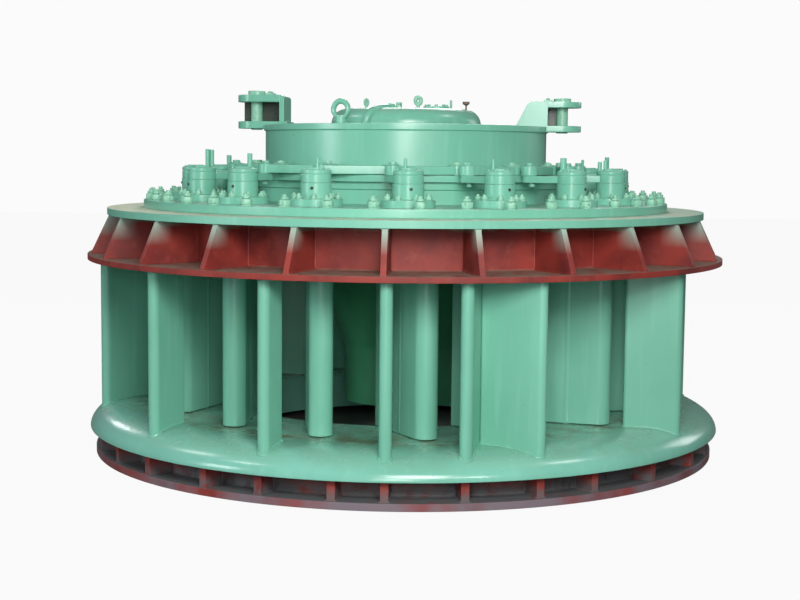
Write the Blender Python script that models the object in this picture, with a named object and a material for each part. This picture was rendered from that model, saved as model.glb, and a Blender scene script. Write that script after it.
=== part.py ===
"""Distributor of a vertical axial flow turbine, standing on the shop floor with its shaft upright.

From the floor up: a foundation ring with radial ribs, the stay ring with its rounded lip and fixed
vanes, the bottom ring round the throat ring, sixteen turning guide vanes, the ribbed upper ring with
its flange, the head cover with sixteen stem housings, the inner cone, and the control ring with its two
lugs, which turns all the guide vanes together through short links. Metres, +Z up. The photograph is
taken from -Y.

An azimuth is measured in degrees round the axis from -Y towards +X.
"""

import math
from collections import namedtuple

import bmesh
import bpy
from mathutils import Matrix, Vector

GAP = 0.0003
# How far a welded plate runs into its neighbour, a bolted flange's thickness, and a cutter's overrun
WELD_IN = 0.010
PLATE = 0.036
PAST = 0.1

# Foundation ring
BASE_R = 2.135
BASE_BORE_R = 1.800
BASE_PLATE_TOP = 0.046
BASE_WALL_R = 1.960
BASE_WALL_BORE_R = 1.920
BASE_RIB_R = 2.115
BASE_RIB_WIDTH = 0.050
# The ribs that the photograph shows aren't evenly spaced, and the hidden ones are drawn evenly
BASE_RIBS_SEEN = (-60.0, -48.4, -34.4, -23.7, -11.4, -3.0, 9.6, 22.1, 32.4, 46.5, 61.7)
BASE_RIBS_HIDDEN = tuple(73.5 + 12.6 * i for i in range(18))

# Stay ring: rounded lip with the fixed vanes
LIP_R = 2.173
LIP_BOTTOM = 0.174
LIP_TOP = 0.326
LIP_CROWN_R = 1.900
LIP_BORE_R = 1.785
LIP_STEPS = 6
VANE_NOSE_R = 2.100
VANE_WIDTH = 0.076
VANE_TAIL_WIDTH = 0.040
VANE_SUNK = 0.030
# azimuth of the nose, azimuth of the tail, radius of the tail
STAY_VANES = (
    (-82.0, -89.0, 1.792),
    (-48.2, -51.0, 1.792),
    (-23.3, -23.2, 1.870),
    (-3.0, -3.4, 1.850),
    (9.9, 13.6, 1.800),
    (22.4, 14.9, 1.800),
    (55.9, 50.8, 1.792),
    (101.5, 95.5, 1.792),
    (137.0, 130.5, 1.792),
    (171.0, 164.5, 1.792),
    (204.0, 197.5, 1.792),
    (241.0, 234.5, 1.792),
)

# Bottom ring and the throat ring inside it
THROAT_R = 1.180
THROAT_OUTER_R = 1.240
THROAT_WALL = 0.035
THROAT_ROUND = 0.040
THROAT_BOTTOM = 0.060
BOTTOM_RING_UNDER = 0.262

# Upper ring
UPPER_PLATE_R = 2.183
UPPER_PLATE_BOTTOM = 1.309
UPPER_PLATE_TOP = 1.345
UPPER_WALL_R = 1.750
UPPER_WALL_BORE_R = 1.722
UPPER_RIB_COUNT = 24
UPPER_RIB_FIRST = -3.37
UPPER_RIB_WIDTH = 0.036
UPPER_RIB_FOOT_R = 2.155
UPPER_RIB_HEAD_R = 2.036
UPPER_RIB_TOE = 0.012
FLANGE_R = 2.050
FLANGE_BOTTOM = 1.608
FLANGE_TOP = 1.655
FLANGE_SEAT_R = 1.815
FLANGE_LEDGE = 1.653

# Head cover
COVER_R = 1.805
COVER_TOP = 1.708
COVER_BORE_R = 0.950
SKIRT_R = 1.700
SKIRT_BORE_R = 1.655
CEILING = 1.325
CEILING_THICK = 0.040
CEILING_BORE_R = 0.960

# Guide vanes
GATE_COUNT = 16
GATE_FIRST = 0.5
GATE_CIRCLE_R = 1.465
GATE_ANGLE = 35.0
GATE_NOSE = 0.196
GATE_NOSE_R = 0.074
GATE_TAIL = 0.312
GATE_TAIL_R = 0.011
GATE_BOTTOM = 0.332
GATE_TOP = 1.319
STEM_R = 0.052
BORE_R = 0.062
TRUNNION_R = 0.040
TRUNNION_BORE_R = 0.050
TRUNNION_BOTTOM = 0.290
HOUSING_R = 0.096
HOUSING_FOOT_R = 0.165
HOUSING_FOOT_TOP = 1.752
HUB_R = 0.093
HUB_BOTTOM = 1.850
HOUSING_TOP = HUB_BOTTOM - GAP
CAP_TOP = 1.930
STUD_R = 0.011
STUD_TOP = 2.002

# Levers, links and the pins between them
LEVER_ANGLE = 199.0
LEVER_LENGTH = 0.285
LEVER_ROOT_WIDTH = 0.110
LEVER_EYE_R = 0.045
LEVER_BOTTOM = 1.853
LEVER_TOP = 1.897
PIN_R = 0.016
PIN_TOP = 1.972
LINK_LENGTH = 0.440
LINK_BOTTOM = LEVER_TOP + GAP
LINK_TOP = 1.957
LINK_EYE_R = 0.050
LINK_HOLE_R = 0.020
LINK_FREE_EYE_R = 0.056
LINK_FREE_HOLE_R = 0.0395

# Control ring and what carries it
RING_R = 0.9745
RING_BORE_R = 0.935
RING_SEAT = 1.853
RING_FOOT_R = 1.122
RING_FOOT_TOP = 1.897
RING_FLANGE_R = 0.986
RING_FLANGE_BORE_R = 0.800
RING_FLANGE_BOTTOM = 2.182
RING_TOP = 2.222
RING_PIN_CIRCLE_R = 1.065
GUIDE_R = 1.085
GUIDE_WEB_R = 1.072
GUIDE_BORE_R = 1.030
GUIDE_SHELF = 1.806
GUIDE_TOP = RING_SEAT - GAP

# Lugs for the two servomotor rods. The plates are (bottom, top), and head is where the upper plate
# starts, measured from the axis as the wall and the web are.
Lug = namedtuple("Lug", "azimuth pin lower_plate upper_plate wall head web_foot web_end pin_bottom head_top")
LEFT_LUG = Lug(-97.0, 1.060, (2.198, 2.248), (2.382, 2.432), 0.840, 0.840, 0.825, 1.170, 2.190, 2.462)
RIGHT_LUG = Lug(83.0, 1.080, (2.188, 2.230), (2.353, 2.393), 0.951, 0.880, 0.765, 0.985, 2.180, 2.418)
LUG_END_R = 0.130
LUG_ROOT = 0.820
LUG_WALL = 0.034
LUG_WEB = 0.030
LUG_PIN_R = 0.040
LUG_HOLE_R = 0.0412
LUG_PIN_HEAD_R = 0.060
LUG_WELD = 0.006
LUG_FIT_R = 0.700
LUG_FIT_BOTTOM = 2.100

# Inner cone and cover of the shaft opening
CONE_R = 0.415
CONE_BOTTOM = 0.312
CONE_WALL = 0.030
CONE_OUTSIDE = (
    (0.415, 0.654),
    (0.445, 0.753),
    (0.498, 0.897),
    (0.580, 1.050),
    (0.700, 1.185),
    (0.830, 1.275),
)
CONE_MOUTH_R = 0.800
CONE_INSIDE = ((0.675, 1.225), (0.465, 0.905), (0.385, 0.660))
CONE_RIM_R = 0.954
CONE_FLANGE_R = 1.080
DOME_R = 0.520
DOME_TOP = 2.338
DOME_SHOULDER_R = 0.105
DOME_WALL = 0.030
DOME_FLANGE_R = 1.020

RING_STEPS = 56
MIDDLE_STEPS = 48


def clear_scene():
    for found in list(bpy.data.objects):
        bpy.data.objects.remove(found)


def paint(name, colour, roughness, metallic=0.0):
    made = bpy.data.materials.new(name)
    made.use_nodes = True
    shader = made.node_tree.nodes["Principled BSDF"]
    linear = [((int(colour[i : i + 2], 16) / 255 + 0.055) / 1.055) ** 2.4 for i in (0, 2, 4)]
    shader.inputs["Base Color"].default_value = (*linear, 1.0)
    shader.inputs["Roughness"].default_value = roughness
    shader.inputs["Metallic"].default_value = metallic
    return made


def outward(azimuth):
    """Unit vector from the axis to this azimuth."""
    turn = math.radians(azimuth)
    return Vector((math.sin(turn), -math.cos(turn), 0.0))


def object_of(name, shape, material=None, helper=False):
    """Puts a bmesh in the scene as one object. A helper only feeds a Boolean."""
    bmesh.ops.recalc_face_normals(shape, faces=shape.faces)
    mesh = bpy.data.meshes.new(name)
    shape.to_mesh(mesh)
    shape.free()
    made = bpy.data.objects.new(name, mesh)
    bpy.context.scene.collection.objects.link(made)
    if material:
        mesh.materials.append(material)
    if helper:
        made.hide_render = True
        made.display_type = "WIRE"
    return made


def smooth(made, angle=35.0):
    """Shades the faces smooth and keeps the edges sharper than this angle sharp."""
    mesh = made.data
    mesh.polygons.foreach_set("use_smooth", [True] * len(mesh.polygons))
    mesh.set_sharp_from_angle(angle=math.radians(angle))


def turned(shape, profile, steps):
    """Adds a ring to the bmesh: a closed outline of (radius, height) spun round the axis."""
    corners = [shape.verts.new((radius, 0.0, height)) for radius, height in profile]
    edges = [shape.edges.new((corners[i - 1], corners[i])) for i in range(len(corners))]
    bmesh.ops.spin(
        shape,
        geom=corners + edges,
        cent=(0, 0, 0),
        axis=(0, 0, 1),
        angle=math.tau,
        steps=steps,
        use_merge=True,
        use_duplicate=False,
    )
    bmesh.ops.remove_doubles(shape, verts=shape.verts, dist=1e-5)
    loose = [edge for edge in shape.edges if not edge.link_faces]
    bmesh.ops.delete(shape, geom=loose, context="EDGES")


def slab(shape, outline, bottom, top, place=None):
    """Adds an upright prism: an outline of (x, y) between two heights, moved by a matrix."""
    corners = [shape.verts.new((x, y, bottom)) for x, y in outline]
    face = shape.faces.new(corners)
    raised = bmesh.ops.extrude_face_region(shape, geom=[face])["geom"]
    lifted = [part for part in raised if isinstance(part, bmesh.types.BMVert)]
    bmesh.ops.translate(shape, verts=lifted, vec=(0, 0, top - bottom))
    if place:
        bmesh.ops.transform(shape, verts=corners + lifted, matrix=place)
    return corners + lifted


def circle(radius, steps, centre=(0.0, 0.0), turn=0.0):
    return [
        (
            centre[0] + radius * math.cos(turn + math.tau * i / steps),
            centre[1] + radius * math.sin(turn + math.tau * i / steps),
        )
        for i in range(steps)
    ]


def arc(centre, radius, start, end, steps):
    """Points of an arc in the plane, both ends included. Angles in degrees."""
    return [
        (
            centre[0] + radius * math.cos(math.radians(start + (end - start) * i / steps)),
            centre[1] + radius * math.sin(math.radians(start + (end - start) * i / steps)),
        )
        for i in range(steps + 1)
    ]


def capsule(start, end, first_r, last_r, first_steps, last_steps):
    """Outline round two circles, joined by straight sides."""
    reach = math.hypot(end[0] - start[0], end[1] - start[1])
    along = math.degrees(math.atan2(end[1] - start[1], end[0] - start[0]))
    lean = math.degrees(math.acos((first_r - last_r) / reach))
    first = arc(start, first_r, along + lean, along + 360 - lean, first_steps)
    last = arc(end, last_r, along - lean, along + lean, last_steps)
    return first + last


def boolean(made, operation, other):
    step = made.modifiers.new(operation.title(), "BOOLEAN")
    step.operation = operation
    step.solver = "EXACT"
    step.object = other


def apply_modifiers(made):
    """Keeps the evaluated mesh, so that later steps see the finished shape."""
    graph = bpy.context.evaluated_depsgraph_get()
    finished = bpy.data.meshes.new_from_object(made.evaluated_get(graph))
    made.modifiers.clear()
    made.data = finished


def station(azimuth):
    """Matrix that takes +X of a drawing to the outward direction at this azimuth."""
    return Matrix.Rotation(math.radians(azimuth - 90.0), 4, "Z")


def radial_plate(shape, azimuth, width, outline, offset=0.0):
    """Adds an upright radial plate: an outline of (radius, height), its width and how far it stands aside."""
    out = outward(azimuth)
    sides = []
    for place in (offset - width / 2, offset + width / 2):
        across = outward(azimuth + 90.0) * place
        sides.append([shape.verts.new(out * radius + across + Vector((0, 0, z))) for radius, z in outline])
    near, far = sides
    shape.faces.new(near)
    shape.faces.new(far[::-1])
    for i in range(len(near)):
        shape.faces.new((near[i - 1], far[i - 1], far[i], near[i]))


def foundation_ring(red):
    """Base plate, ring wall and radial ribs, all welded. It carries everything else."""
    shape = bmesh.new()
    top = LIP_BOTTOM - GAP
    profile = (
        (BASE_BORE_R, 0.0),
        (BASE_R, 0.0),
        (BASE_R, BASE_PLATE_TOP),
        (BASE_WALL_R, BASE_PLATE_TOP),
        (BASE_WALL_R, top),
        (BASE_WALL_BORE_R, top),
        (BASE_WALL_BORE_R, BASE_PLATE_TOP),
        (BASE_BORE_R, BASE_PLATE_TOP),
    )
    turned(shape, profile, RING_STEPS)
    made = object_of("foundation_ring", shape, red)
    ribs = bmesh.new()
    low = BASE_PLATE_TOP - WELD_IN
    inner = BASE_WALL_R - WELD_IN
    outline = ((inner, low), (BASE_RIB_R, low), (BASE_RIB_R, top), (inner, top))
    for azimuth in BASE_RIBS_SEEN + BASE_RIBS_HIDDEN:
        radial_plate(ribs, azimuth, BASE_RIB_WIDTH, outline)
    boolean(made, "UNION", object_of("foundation_ribs", ribs, helper=True))
    apply_modifiers(made)
    return made


def lip_profile():
    """The lip's outline: a quarter ellipse from the crown down to the outer edge."""
    reach = LIP_R - LIP_CROWN_R
    rise = LIP_TOP - LIP_BOTTOM
    curve = []
    for i in range(LIP_STEPS + 1):
        turn = math.pi / 2 * i / LIP_STEPS
        curve.append((LIP_CROWN_R + reach * math.cos(turn), LIP_BOTTOM + rise * math.sin(turn)))
    return [(LIP_BORE_R, LIP_BOTTOM)] + curve + [(LIP_BORE_R, LIP_TOP)]


def stay_vane(shape, nose_azimuth, tail_azimuth, tail_r, bottom, top):
    """Adds one fixed vane: a plate with a rounded nose outside and a thinner tail inside."""
    nose = outward(nose_azimuth) * (VANE_NOSE_R - VANE_WIDTH / 2)
    tail = outward(tail_azimuth) * (tail_r + VANE_TAIL_WIDTH / 2)
    outline = capsule((nose.x, nose.y), (tail.x, tail.y), VANE_WIDTH / 2, VANE_TAIL_WIDTH / 2, 5, 2)
    slab(shape, outline, bottom, top)


def stay_ring(green):
    """The lip and the fixed vanes that are welded on it."""
    shape = bmesh.new()
    turned(shape, lip_profile(), RING_STEPS)
    made = object_of("stay_ring", shape, green)
    for number, (nose, tail, tail_r) in enumerate(STAY_VANES):
        blade = bmesh.new()
        stay_vane(blade, nose, tail, tail_r, LIP_BOTTOM + VANE_SUNK, UPPER_PLATE_BOTTOM - GAP)
        boolean(made, "UNION", object_of(f"fixed_vane_{number}", blade, helper=True))
        apply_modifiers(made)
    return made


def gate_azimuths():
    return [GATE_FIRST + 360 * i / GATE_COUNT for i in range(GATE_COUNT)]


def bores(name, radius, bottom, top, steps):
    """Sixteen cutters on the stems' circle, as one helper."""
    shape = bmesh.new()
    for azimuth in gate_azimuths():
        slab(shape, circle(radius, steps, (GATE_CIRCLE_R, 0.0)), bottom, top, station(azimuth))
    return object_of(name, shape, helper=True)


def bottom_ring(green):
    """Flat ring under the guide vanes, with a bore for each trunnion."""
    shape = bmesh.new()
    profile = (
        (LIP_BORE_R - GAP, LIP_TOP),
        (LIP_BORE_R - GAP, BOTTOM_RING_UNDER),
        (THROAT_OUTER_R + GAP, BOTTOM_RING_UNDER),
        (THROAT_OUTER_R + GAP, LIP_TOP),
    )
    turned(shape, profile, RING_STEPS)
    made = object_of("bottom_ring", shape, green)
    trunnion_bores = bores("trunnion_bores", TRUNNION_BORE_R, BOTTOM_RING_UNDER - PAST, LIP_TOP + PAST, 8)
    boolean(made, "DIFFERENCE", trunnion_bores)
    apply_modifiers(made)
    return made


def throat_ring(green):
    """Wall of the throat, let into the bottom ring, with a rounded lip that the water turns over."""
    shape = bmesh.new()
    rounding = arc((THROAT_R + THROAT_ROUND, LIP_TOP - THROAT_ROUND), THROAT_ROUND, 180, 90, 2)
    profile = [
        (THROAT_OUTER_R, LIP_TOP),
        (THROAT_OUTER_R, BOTTOM_RING_UNDER),
        (THROAT_R + THROAT_WALL, THROAT_BOTTOM),
        (THROAT_R, THROAT_BOTTOM),
    ] + rounding
    turned(shape, profile, RING_STEPS)
    return object_of("throat_ring", shape, green)


def upper_ring(red):
    """Plate, wall and ribs over the fixed vanes."""
    shape = bmesh.new()
    top = FLANGE_BOTTOM - GAP
    profile = (
        (UPPER_WALL_BORE_R, UPPER_PLATE_BOTTOM),
        (UPPER_PLATE_R, UPPER_PLATE_BOTTOM),
        (UPPER_PLATE_R, UPPER_PLATE_TOP),
        (UPPER_WALL_R, UPPER_PLATE_TOP),
        (UPPER_WALL_R, top),
        (UPPER_WALL_BORE_R, top),
    )
    turned(shape, profile, RING_STEPS)
    made = object_of("upper_ring", shape, red)
    ribs = bmesh.new()
    low = UPPER_PLATE_TOP - WELD_IN
    inner = UPPER_WALL_R - WELD_IN
    outline = (
        (inner, low),
        (UPPER_RIB_FOOT_R, low),
        (UPPER_RIB_FOOT_R, UPPER_PLATE_TOP + UPPER_RIB_TOE),
        (UPPER_RIB_HEAD_R, top),
        (inner, top),
    )
    for i in range(UPPER_RIB_COUNT):
        radial_plate(ribs, UPPER_RIB_FIRST + 360 * i / UPPER_RIB_COUNT, UPPER_RIB_WIDTH, outline)
    boolean(made, "UNION", object_of("upper_ribs", ribs, helper=True))
    apply_modifiers(made)
    return made


def upper_flange(green):
    """Machined flange: a raised seat for the head cover, and a ledge a little lower outside it."""
    shape = bmesh.new()
    profile = (
        (UPPER_WALL_BORE_R, FLANGE_BOTTOM),
        (FLANGE_R, FLANGE_BOTTOM),
        (FLANGE_R, FLANGE_LEDGE),
        (FLANGE_SEAT_R, FLANGE_LEDGE),
        (FLANGE_SEAT_R, FLANGE_TOP),
        (UPPER_WALL_BORE_R, FLANGE_TOP),
    )
    turned(shape, profile, RING_STEPS)
    return object_of("upper_flange", shape, green)


def head_cover(green):
    """Flange, skirt and ceiling over the guide vanes, with the sixteen stem housings on top."""
    shape = bmesh.new()
    seat = FLANGE_TOP + GAP
    profile = (
        (COVER_BORE_R, seat),
        (SKIRT_BORE_R, seat),
        (SKIRT_BORE_R, CEILING + CEILING_THICK),
        (CEILING_BORE_R, CEILING + CEILING_THICK),
        (CEILING_BORE_R, CEILING),
        (SKIRT_R, CEILING),
        (SKIRT_R, seat),
        (COVER_R, seat),
        (COVER_R, COVER_TOP),
        (COVER_BORE_R, COVER_TOP),
    )
    turned(shape, profile, MIDDLE_STEPS)
    made = object_of("head_cover", shape, green)
    posts = bmesh.new()
    for azimuth in gate_azimuths():
        corners = slab(posts, circle(HOUSING_FOOT_R, 12), COVER_TOP - WELD_IN, HOUSING_FOOT_TOP)
        faces = {face for vert in corners for face in vert.link_faces}
        top = max(faces, key=lambda face: face.calc_center_median().z)
        inset = bmesh.ops.inset_region(posts, faces=[top], thickness=HOUSING_FOOT_R - HOUSING_R)
        raised = bmesh.ops.extrude_face_region(posts, geom=[top])["geom"]
        lifted = [part for part in raised if isinstance(part, bmesh.types.BMVert)]
        bmesh.ops.delete(posts, geom=[top], context="FACES_ONLY")
        bmesh.ops.translate(posts, verts=lifted, vec=(0, 0, HOUSING_TOP - HOUSING_FOOT_TOP))
        whole = {vert for face in inset["faces"] for vert in face.verts} | set(corners) | set(lifted)
        place = station(azimuth) @ Matrix.Translation((GATE_CIRCLE_R, 0, 0))
        bmesh.ops.transform(posts, verts=list(whole), matrix=place)
    boolean(made, "UNION", object_of("stem_housings", posts, helper=True))
    apply_modifiers(made)
    boolean(made, "DIFFERENCE", bores("stem_bores", BORE_R, CEILING - PAST, HOUSING_TOP + PAST, 8))
    apply_modifiers(made)
    return made


def inner_cone(green):
    """Bell that guides the water down to the shaft, hung on the ceiling of the head cover."""
    outside = [(CONE_R, CONE_BOTTOM)] + list(CONE_OUTSIDE) + [(CONE_RIM_R, CEILING)]
    shelf = CEILING + CEILING_THICK + GAP
    flange = [(CONE_RIM_R, shelf), (CONE_FLANGE_R, shelf), (CONE_FLANGE_R, shelf + PLATE)]
    inside = [(CONE_MOUTH_R, shelf + PLATE)] + list(CONE_INSIDE) + [(CONE_R - CONE_WALL, CONE_BOTTOM)]
    profile = outside + flange + inside
    shape = bmesh.new()
    turned(shape, profile, 32)
    return object_of("inner_cone", shape, green)


def ring_guide(green):
    """Seat on the head cover that the control ring slides on."""
    shape = bmesh.new()
    seat = COVER_TOP + GAP
    profile = (
        (GUIDE_BORE_R, seat),
        (GUIDE_WEB_R, seat),
        (GUIDE_WEB_R, GUIDE_SHELF),
        (GUIDE_R, GUIDE_SHELF),
        (GUIDE_R, GUIDE_TOP),
        (GUIDE_BORE_R, GUIDE_TOP),
    )
    turned(shape, profile, 40)
    return object_of("ring_guide", shape, green)


def dome_cover(green):
    """Cover over the shaft opening, inside the control ring."""
    seat = COVER_TOP + GAP
    centre = (DOME_R - DOME_SHOULDER_R, DOME_TOP - DOME_SHOULDER_R)
    outside = arc(centre, DOME_SHOULDER_R, 0, 90, 4)
    inside = arc(centre, DOME_SHOULDER_R - DOME_WALL, 90, 0, 4)
    flange = [
        (DOME_R - DOME_WALL, seat),
        (DOME_FLANGE_R, seat),
        (DOME_FLANGE_R, seat + PLATE),
        (DOME_R, seat + PLATE),
    ]
    profile = flange + outside + [(0.0, DOME_TOP), (0.0, DOME_TOP - DOME_WALL)] + inside
    shape = bmesh.new()
    turned(shape, profile, 32)
    return object_of("dome_cover", shape, green)


def lug(name, place, green):
    """One lug: lower plate, upper plate, inner wall and the web that joins them at one side.

    It is fitted round the edge of the control ring's top flange.
    """
    end = arc((place.pin, 0.0), LUG_END_R, -90, 90, 6)
    half = LUG_END_R - LUG_WELD
    inner = place.head + LUG_WELD
    outer = place.wall + LUG_WALL
    low = place.lower_plate[1] - WELD_IN
    high = place.upper_plate[0] + WELD_IN
    upright_to_station = station(place.azimuth)
    flat = (
        ([(LUG_ROOT, LUG_END_R), (LUG_ROOT, -LUG_END_R)] + end, *place.lower_plate),
        ([(inner, LUG_END_R), (inner, -LUG_END_R)] + end, *place.upper_plate),
        ([(place.wall, half), (place.wall, -half), (outer, -half), (outer, half)], low, high),
    )
    web = (
        (place.web_foot, low),
        (place.web_end, low),
        (place.web_end, high),
        (place.head + LUG_WELD / 2, high),
    )
    made = None
    for outline, bottom, top in flat:
        shape = bmesh.new()
        slab(shape, outline, bottom, top, upright_to_station)
        if made:
            boolean(made, "UNION", object_of(f"{name}_plate", shape, helper=True))
            apply_modifiers(made)
        else:
            made = object_of(name, shape, green)
    shape = bmesh.new()
    radial_plate(shape, place.azimuth, LUG_WEB, web, LUG_WEB / 2 + LUG_WELD - half)
    boolean(made, "UNION", object_of(f"{name}_web", shape, helper=True))
    apply_modifiers(made)
    flange = bmesh.new()
    edge = RING_FLANGE_R + GAP
    seat = RING_TOP + GAP
    profile = ((LUG_FIT_R, LUG_FIT_BOTTOM), (edge, LUG_FIT_BOTTOM), (edge, seat), (LUG_FIT_R, seat))
    turned(flange, profile, MIDDLE_STEPS)
    boolean(made, "DIFFERENCE", object_of(f"{name}_fit", flange, helper=True))
    apply_modifiers(made)
    hole = bmesh.new()
    outline = circle(LUG_HOLE_R, 20, (place.pin, 0.0))
    slab(hole, outline, place.lower_plate[0] - PAST, place.upper_plate[1] + PAST, upright_to_station)
    boolean(made, "DIFFERENCE", object_of(f"{name}_hole", hole, helper=True))
    apply_modifiers(made)
    return made


def ring_pin_azimuth():
    """Azimuth of a link's pin on the control ring, from its guide vane's azimuth."""
    lever = math.radians(LEVER_ANGLE)
    x = GATE_CIRCLE_R + LEVER_LENGTH * math.cos(lever)
    y = LEVER_LENGTH * math.sin(lever)
    reach = math.hypot(x, y)
    cosine = (reach**2 + RING_PIN_CIRCLE_R**2 - LINK_LENGTH**2) / (2 * reach * RING_PIN_CIRCLE_R)
    return math.degrees(math.atan2(y, x) + math.acos(cosine))


def control_ring(green):
    """Foot and drum of the ring that the servomotors turn, with the pins of the links."""
    shape = bmesh.new()
    profile = (
        (RING_BORE_R, RING_SEAT),
        (RING_FOOT_R, RING_SEAT),
        (RING_FOOT_R, RING_FOOT_TOP),
        (RING_R, RING_FOOT_TOP),
        (RING_R, RING_FLANGE_BOTTOM - GAP),
        (RING_BORE_R, RING_FLANGE_BOTTOM - GAP),
    )
    turned(shape, profile, MIDDLE_STEPS)
    made = object_of("control_ring", shape, green)
    pins = bmesh.new()
    for azimuth in gate_azimuths():
        outline = circle(PIN_R, 6, (RING_PIN_CIRCLE_R, 0.0))
        slab(pins, outline, RING_FOOT_TOP - WELD_IN, PIN_TOP, station(azimuth + ring_pin_azimuth()))
    boolean(made, "UNION", object_of("link_pins", pins, helper=True))
    apply_modifiers(made)
    return made


def ring_top_flange(green):
    """Wide flange on the drum of the control ring. The lugs are fitted round its edge."""
    shape = bmesh.new()
    profile = (
        (RING_FLANGE_BORE_R, RING_FLANGE_BOTTOM),
        (RING_FLANGE_R, RING_FLANGE_BOTTOM),
        (RING_FLANGE_R, RING_TOP),
        (RING_FLANGE_BORE_R, RING_TOP),
    )
    turned(shape, profile, MIDDLE_STEPS)
    return object_of("ring_top_flange", shape, green)


def lug_pin(name, place, steel):
    """Pin for a servomotor rod, with a flat head on the upper plate."""
    shape = bmesh.new()
    seat = place.upper_plate[1] + GAP
    profile = (
        (0.0, place.pin_bottom),
        (LUG_PIN_R, place.pin_bottom),
        (LUG_PIN_R, seat),
        (LUG_PIN_HEAD_R, seat),
        (LUG_PIN_HEAD_R, place.head_top),
        (0.0, place.head_top),
    )
    turned(shape, profile, 20)
    placed = station(place.azimuth) @ Matrix.Translation((place.pin, 0, 0))
    bmesh.ops.transform(shape, verts=shape.verts, matrix=placed)
    return object_of(name, shape, steel)


def stepped(shape, sections, steps):
    """Adds a stack of coaxial cylinders, one outline of (radius, height) from bottom to top."""
    turned(shape, [(0.0, sections[0][1])] + list(sections) + [(0.0, sections[-1][1])], steps)


def guide_vane(green):
    """The blade, its stem and trunnion, and the lever with its pin, drawn on the stem's axis.

    +X is the outward direction at the vane's station.
    """
    angle = math.radians(GATE_ANGLE)
    nose = (GATE_NOSE * math.cos(angle), GATE_NOSE * math.sin(angle))
    tail = (-GATE_TAIL * math.cos(angle), -GATE_TAIL * math.sin(angle))
    blade = bmesh.new()
    slab(blade, capsule(nose, tail, GATE_NOSE_R, GATE_TAIL_R, 6, 1), GATE_BOTTOM, GATE_TOP)
    made = object_of("guide_vane_01", blade, green)
    stem = bmesh.new()
    sections = (
        (TRUNNION_R, TRUNNION_BOTTOM),
        (TRUNNION_R, GATE_BOTTOM + WELD_IN),
        (STEM_R, GATE_BOTTOM + WELD_IN),
        (STEM_R, HUB_BOTTOM),
        (HUB_R, HUB_BOTTOM),
        (HUB_R, CAP_TOP),
        (STUD_R, CAP_TOP),
        (STUD_R, STUD_TOP),
    )
    stepped(stem, sections, 8)
    boolean(made, "UNION", object_of("vane_stem", stem, helper=True))
    apply_modifiers(made)
    turn = math.radians(LEVER_ANGLE)
    eye = (LEVER_LENGTH * math.cos(turn), LEVER_LENGTH * math.sin(turn))
    lever = bmesh.new()
    slab(lever, capsule((0.0, 0.0), eye, LEVER_ROOT_WIDTH / 2, LEVER_EYE_R, 1, 3), LEVER_BOTTOM, LEVER_TOP)
    boolean(made, "UNION", object_of("vane_lever", lever, helper=True))
    apply_modifiers(made)
    pin = bmesh.new()
    slab(pin, circle(PIN_R, 6, eye), LEVER_TOP - WELD_IN, PIN_TOP)
    boolean(made, "UNION", object_of("vane_lever_pin", pin, helper=True))
    apply_modifiers(made)
    return made


def link(green):
    """One link, drawn with its lever pin on the origin and its ring pin along +X."""
    bar = bmesh.new()
    outline = capsule((0.0, 0.0), (LINK_LENGTH, 0.0), LINK_EYE_R, LINK_FREE_EYE_R, 4, 4)
    slab(bar, outline, LINK_BOTTOM, LINK_TOP)
    made = object_of("link_01", bar, green)
    holes = bmesh.new()
    slab(holes, circle(LINK_HOLE_R, 8), LINK_BOTTOM - PAST, LINK_TOP + PAST)
    slab(holes, circle(LINK_FREE_HOLE_R, 8, (LINK_LENGTH, 0.0)), LINK_BOTTOM - PAST, LINK_TOP + PAST)
    boolean(made, "DIFFERENCE", object_of("link_holes", holes, helper=True))
    apply_modifiers(made)
    return made


def copies(first, name, count):
    """The first piece and its copies, numbered from 01. They share one mesh."""
    found = [first]
    for i in range(2, count + 1):
        another = bpy.data.objects.new(f"{name}_{i:02d}", first.data)
        bpy.context.scene.collection.objects.link(another)
        found.append(another)
    return found


def main():
    clear_scene()
    green = paint("green_paint", "7cc4a0", 0.35)
    lip_green = paint("lip_green_paint", "7fb89c", 0.40)
    red = paint("red_oxide_primer", "83362f", 0.60)
    steel = paint("painted_steel_pin", "8fb09f", 0.45)

    rounds = [
        foundation_ring(red),
        stay_ring(lip_green),
        bottom_ring(lip_green),
        throat_ring(lip_green),
        upper_ring(red),
        upper_flange(green),
        head_cover(green),
        inner_cone(green),
        ring_guide(green),
        dome_cover(green),
        control_ring(green),
        ring_top_flange(green),
        lug("left_lug", LEFT_LUG, green),
        lug("right_lug", RIGHT_LUG, green),
        lug_pin("left_lug_pin", LEFT_LUG, steel),
        lug_pin("right_lug_pin", RIGHT_LUG, steel),
    ]
    vane = guide_vane(green)
    bar = link(green)
    for made in rounds + [vane, bar]:
        smooth(made)

    vanes = copies(vane, "guide_vane", GATE_COUNT)
    links = copies(bar, "link", GATE_COUNT)
    lever = math.radians(LEVER_ANGLE)
    start = Vector((GATE_CIRCLE_R + LEVER_LENGTH * math.cos(lever), LEVER_LENGTH * math.sin(lever), 0.0))
    end = station(ring_pin_azimuth() + 90.0) @ Vector((RING_PIN_CIRCLE_R, 0.0, 0.0))
    heading = math.atan2(end.y - start.y, end.x - start.x)
    for azimuth, one_vane, one_link in zip(gate_azimuths(), vanes, links):
        place = station(azimuth)
        one_vane.matrix_world = place @ Matrix.Translation((GATE_CIRCLE_R, 0, 0))
        one_link.matrix_world = place @ Matrix.Translation(start) @ Matrix.Rotation(heading, 4, "Z")


main()
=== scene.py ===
# %% [markdown]
# This is the distributor of a vertical axial flow turbine: the ring of vanes that lets the water onto the
# runner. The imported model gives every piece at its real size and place. This script dresses it: each
# plain node is replaced by a finely turned or welded piece, the fasteners are added, and every surface
# gets its paint. The axis of the turbine is Z, and the side that the photograph shows faces -Y.

# %% Load the frame
import math
import random

import bpy
from mathutils import Matrix, Vector


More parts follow.
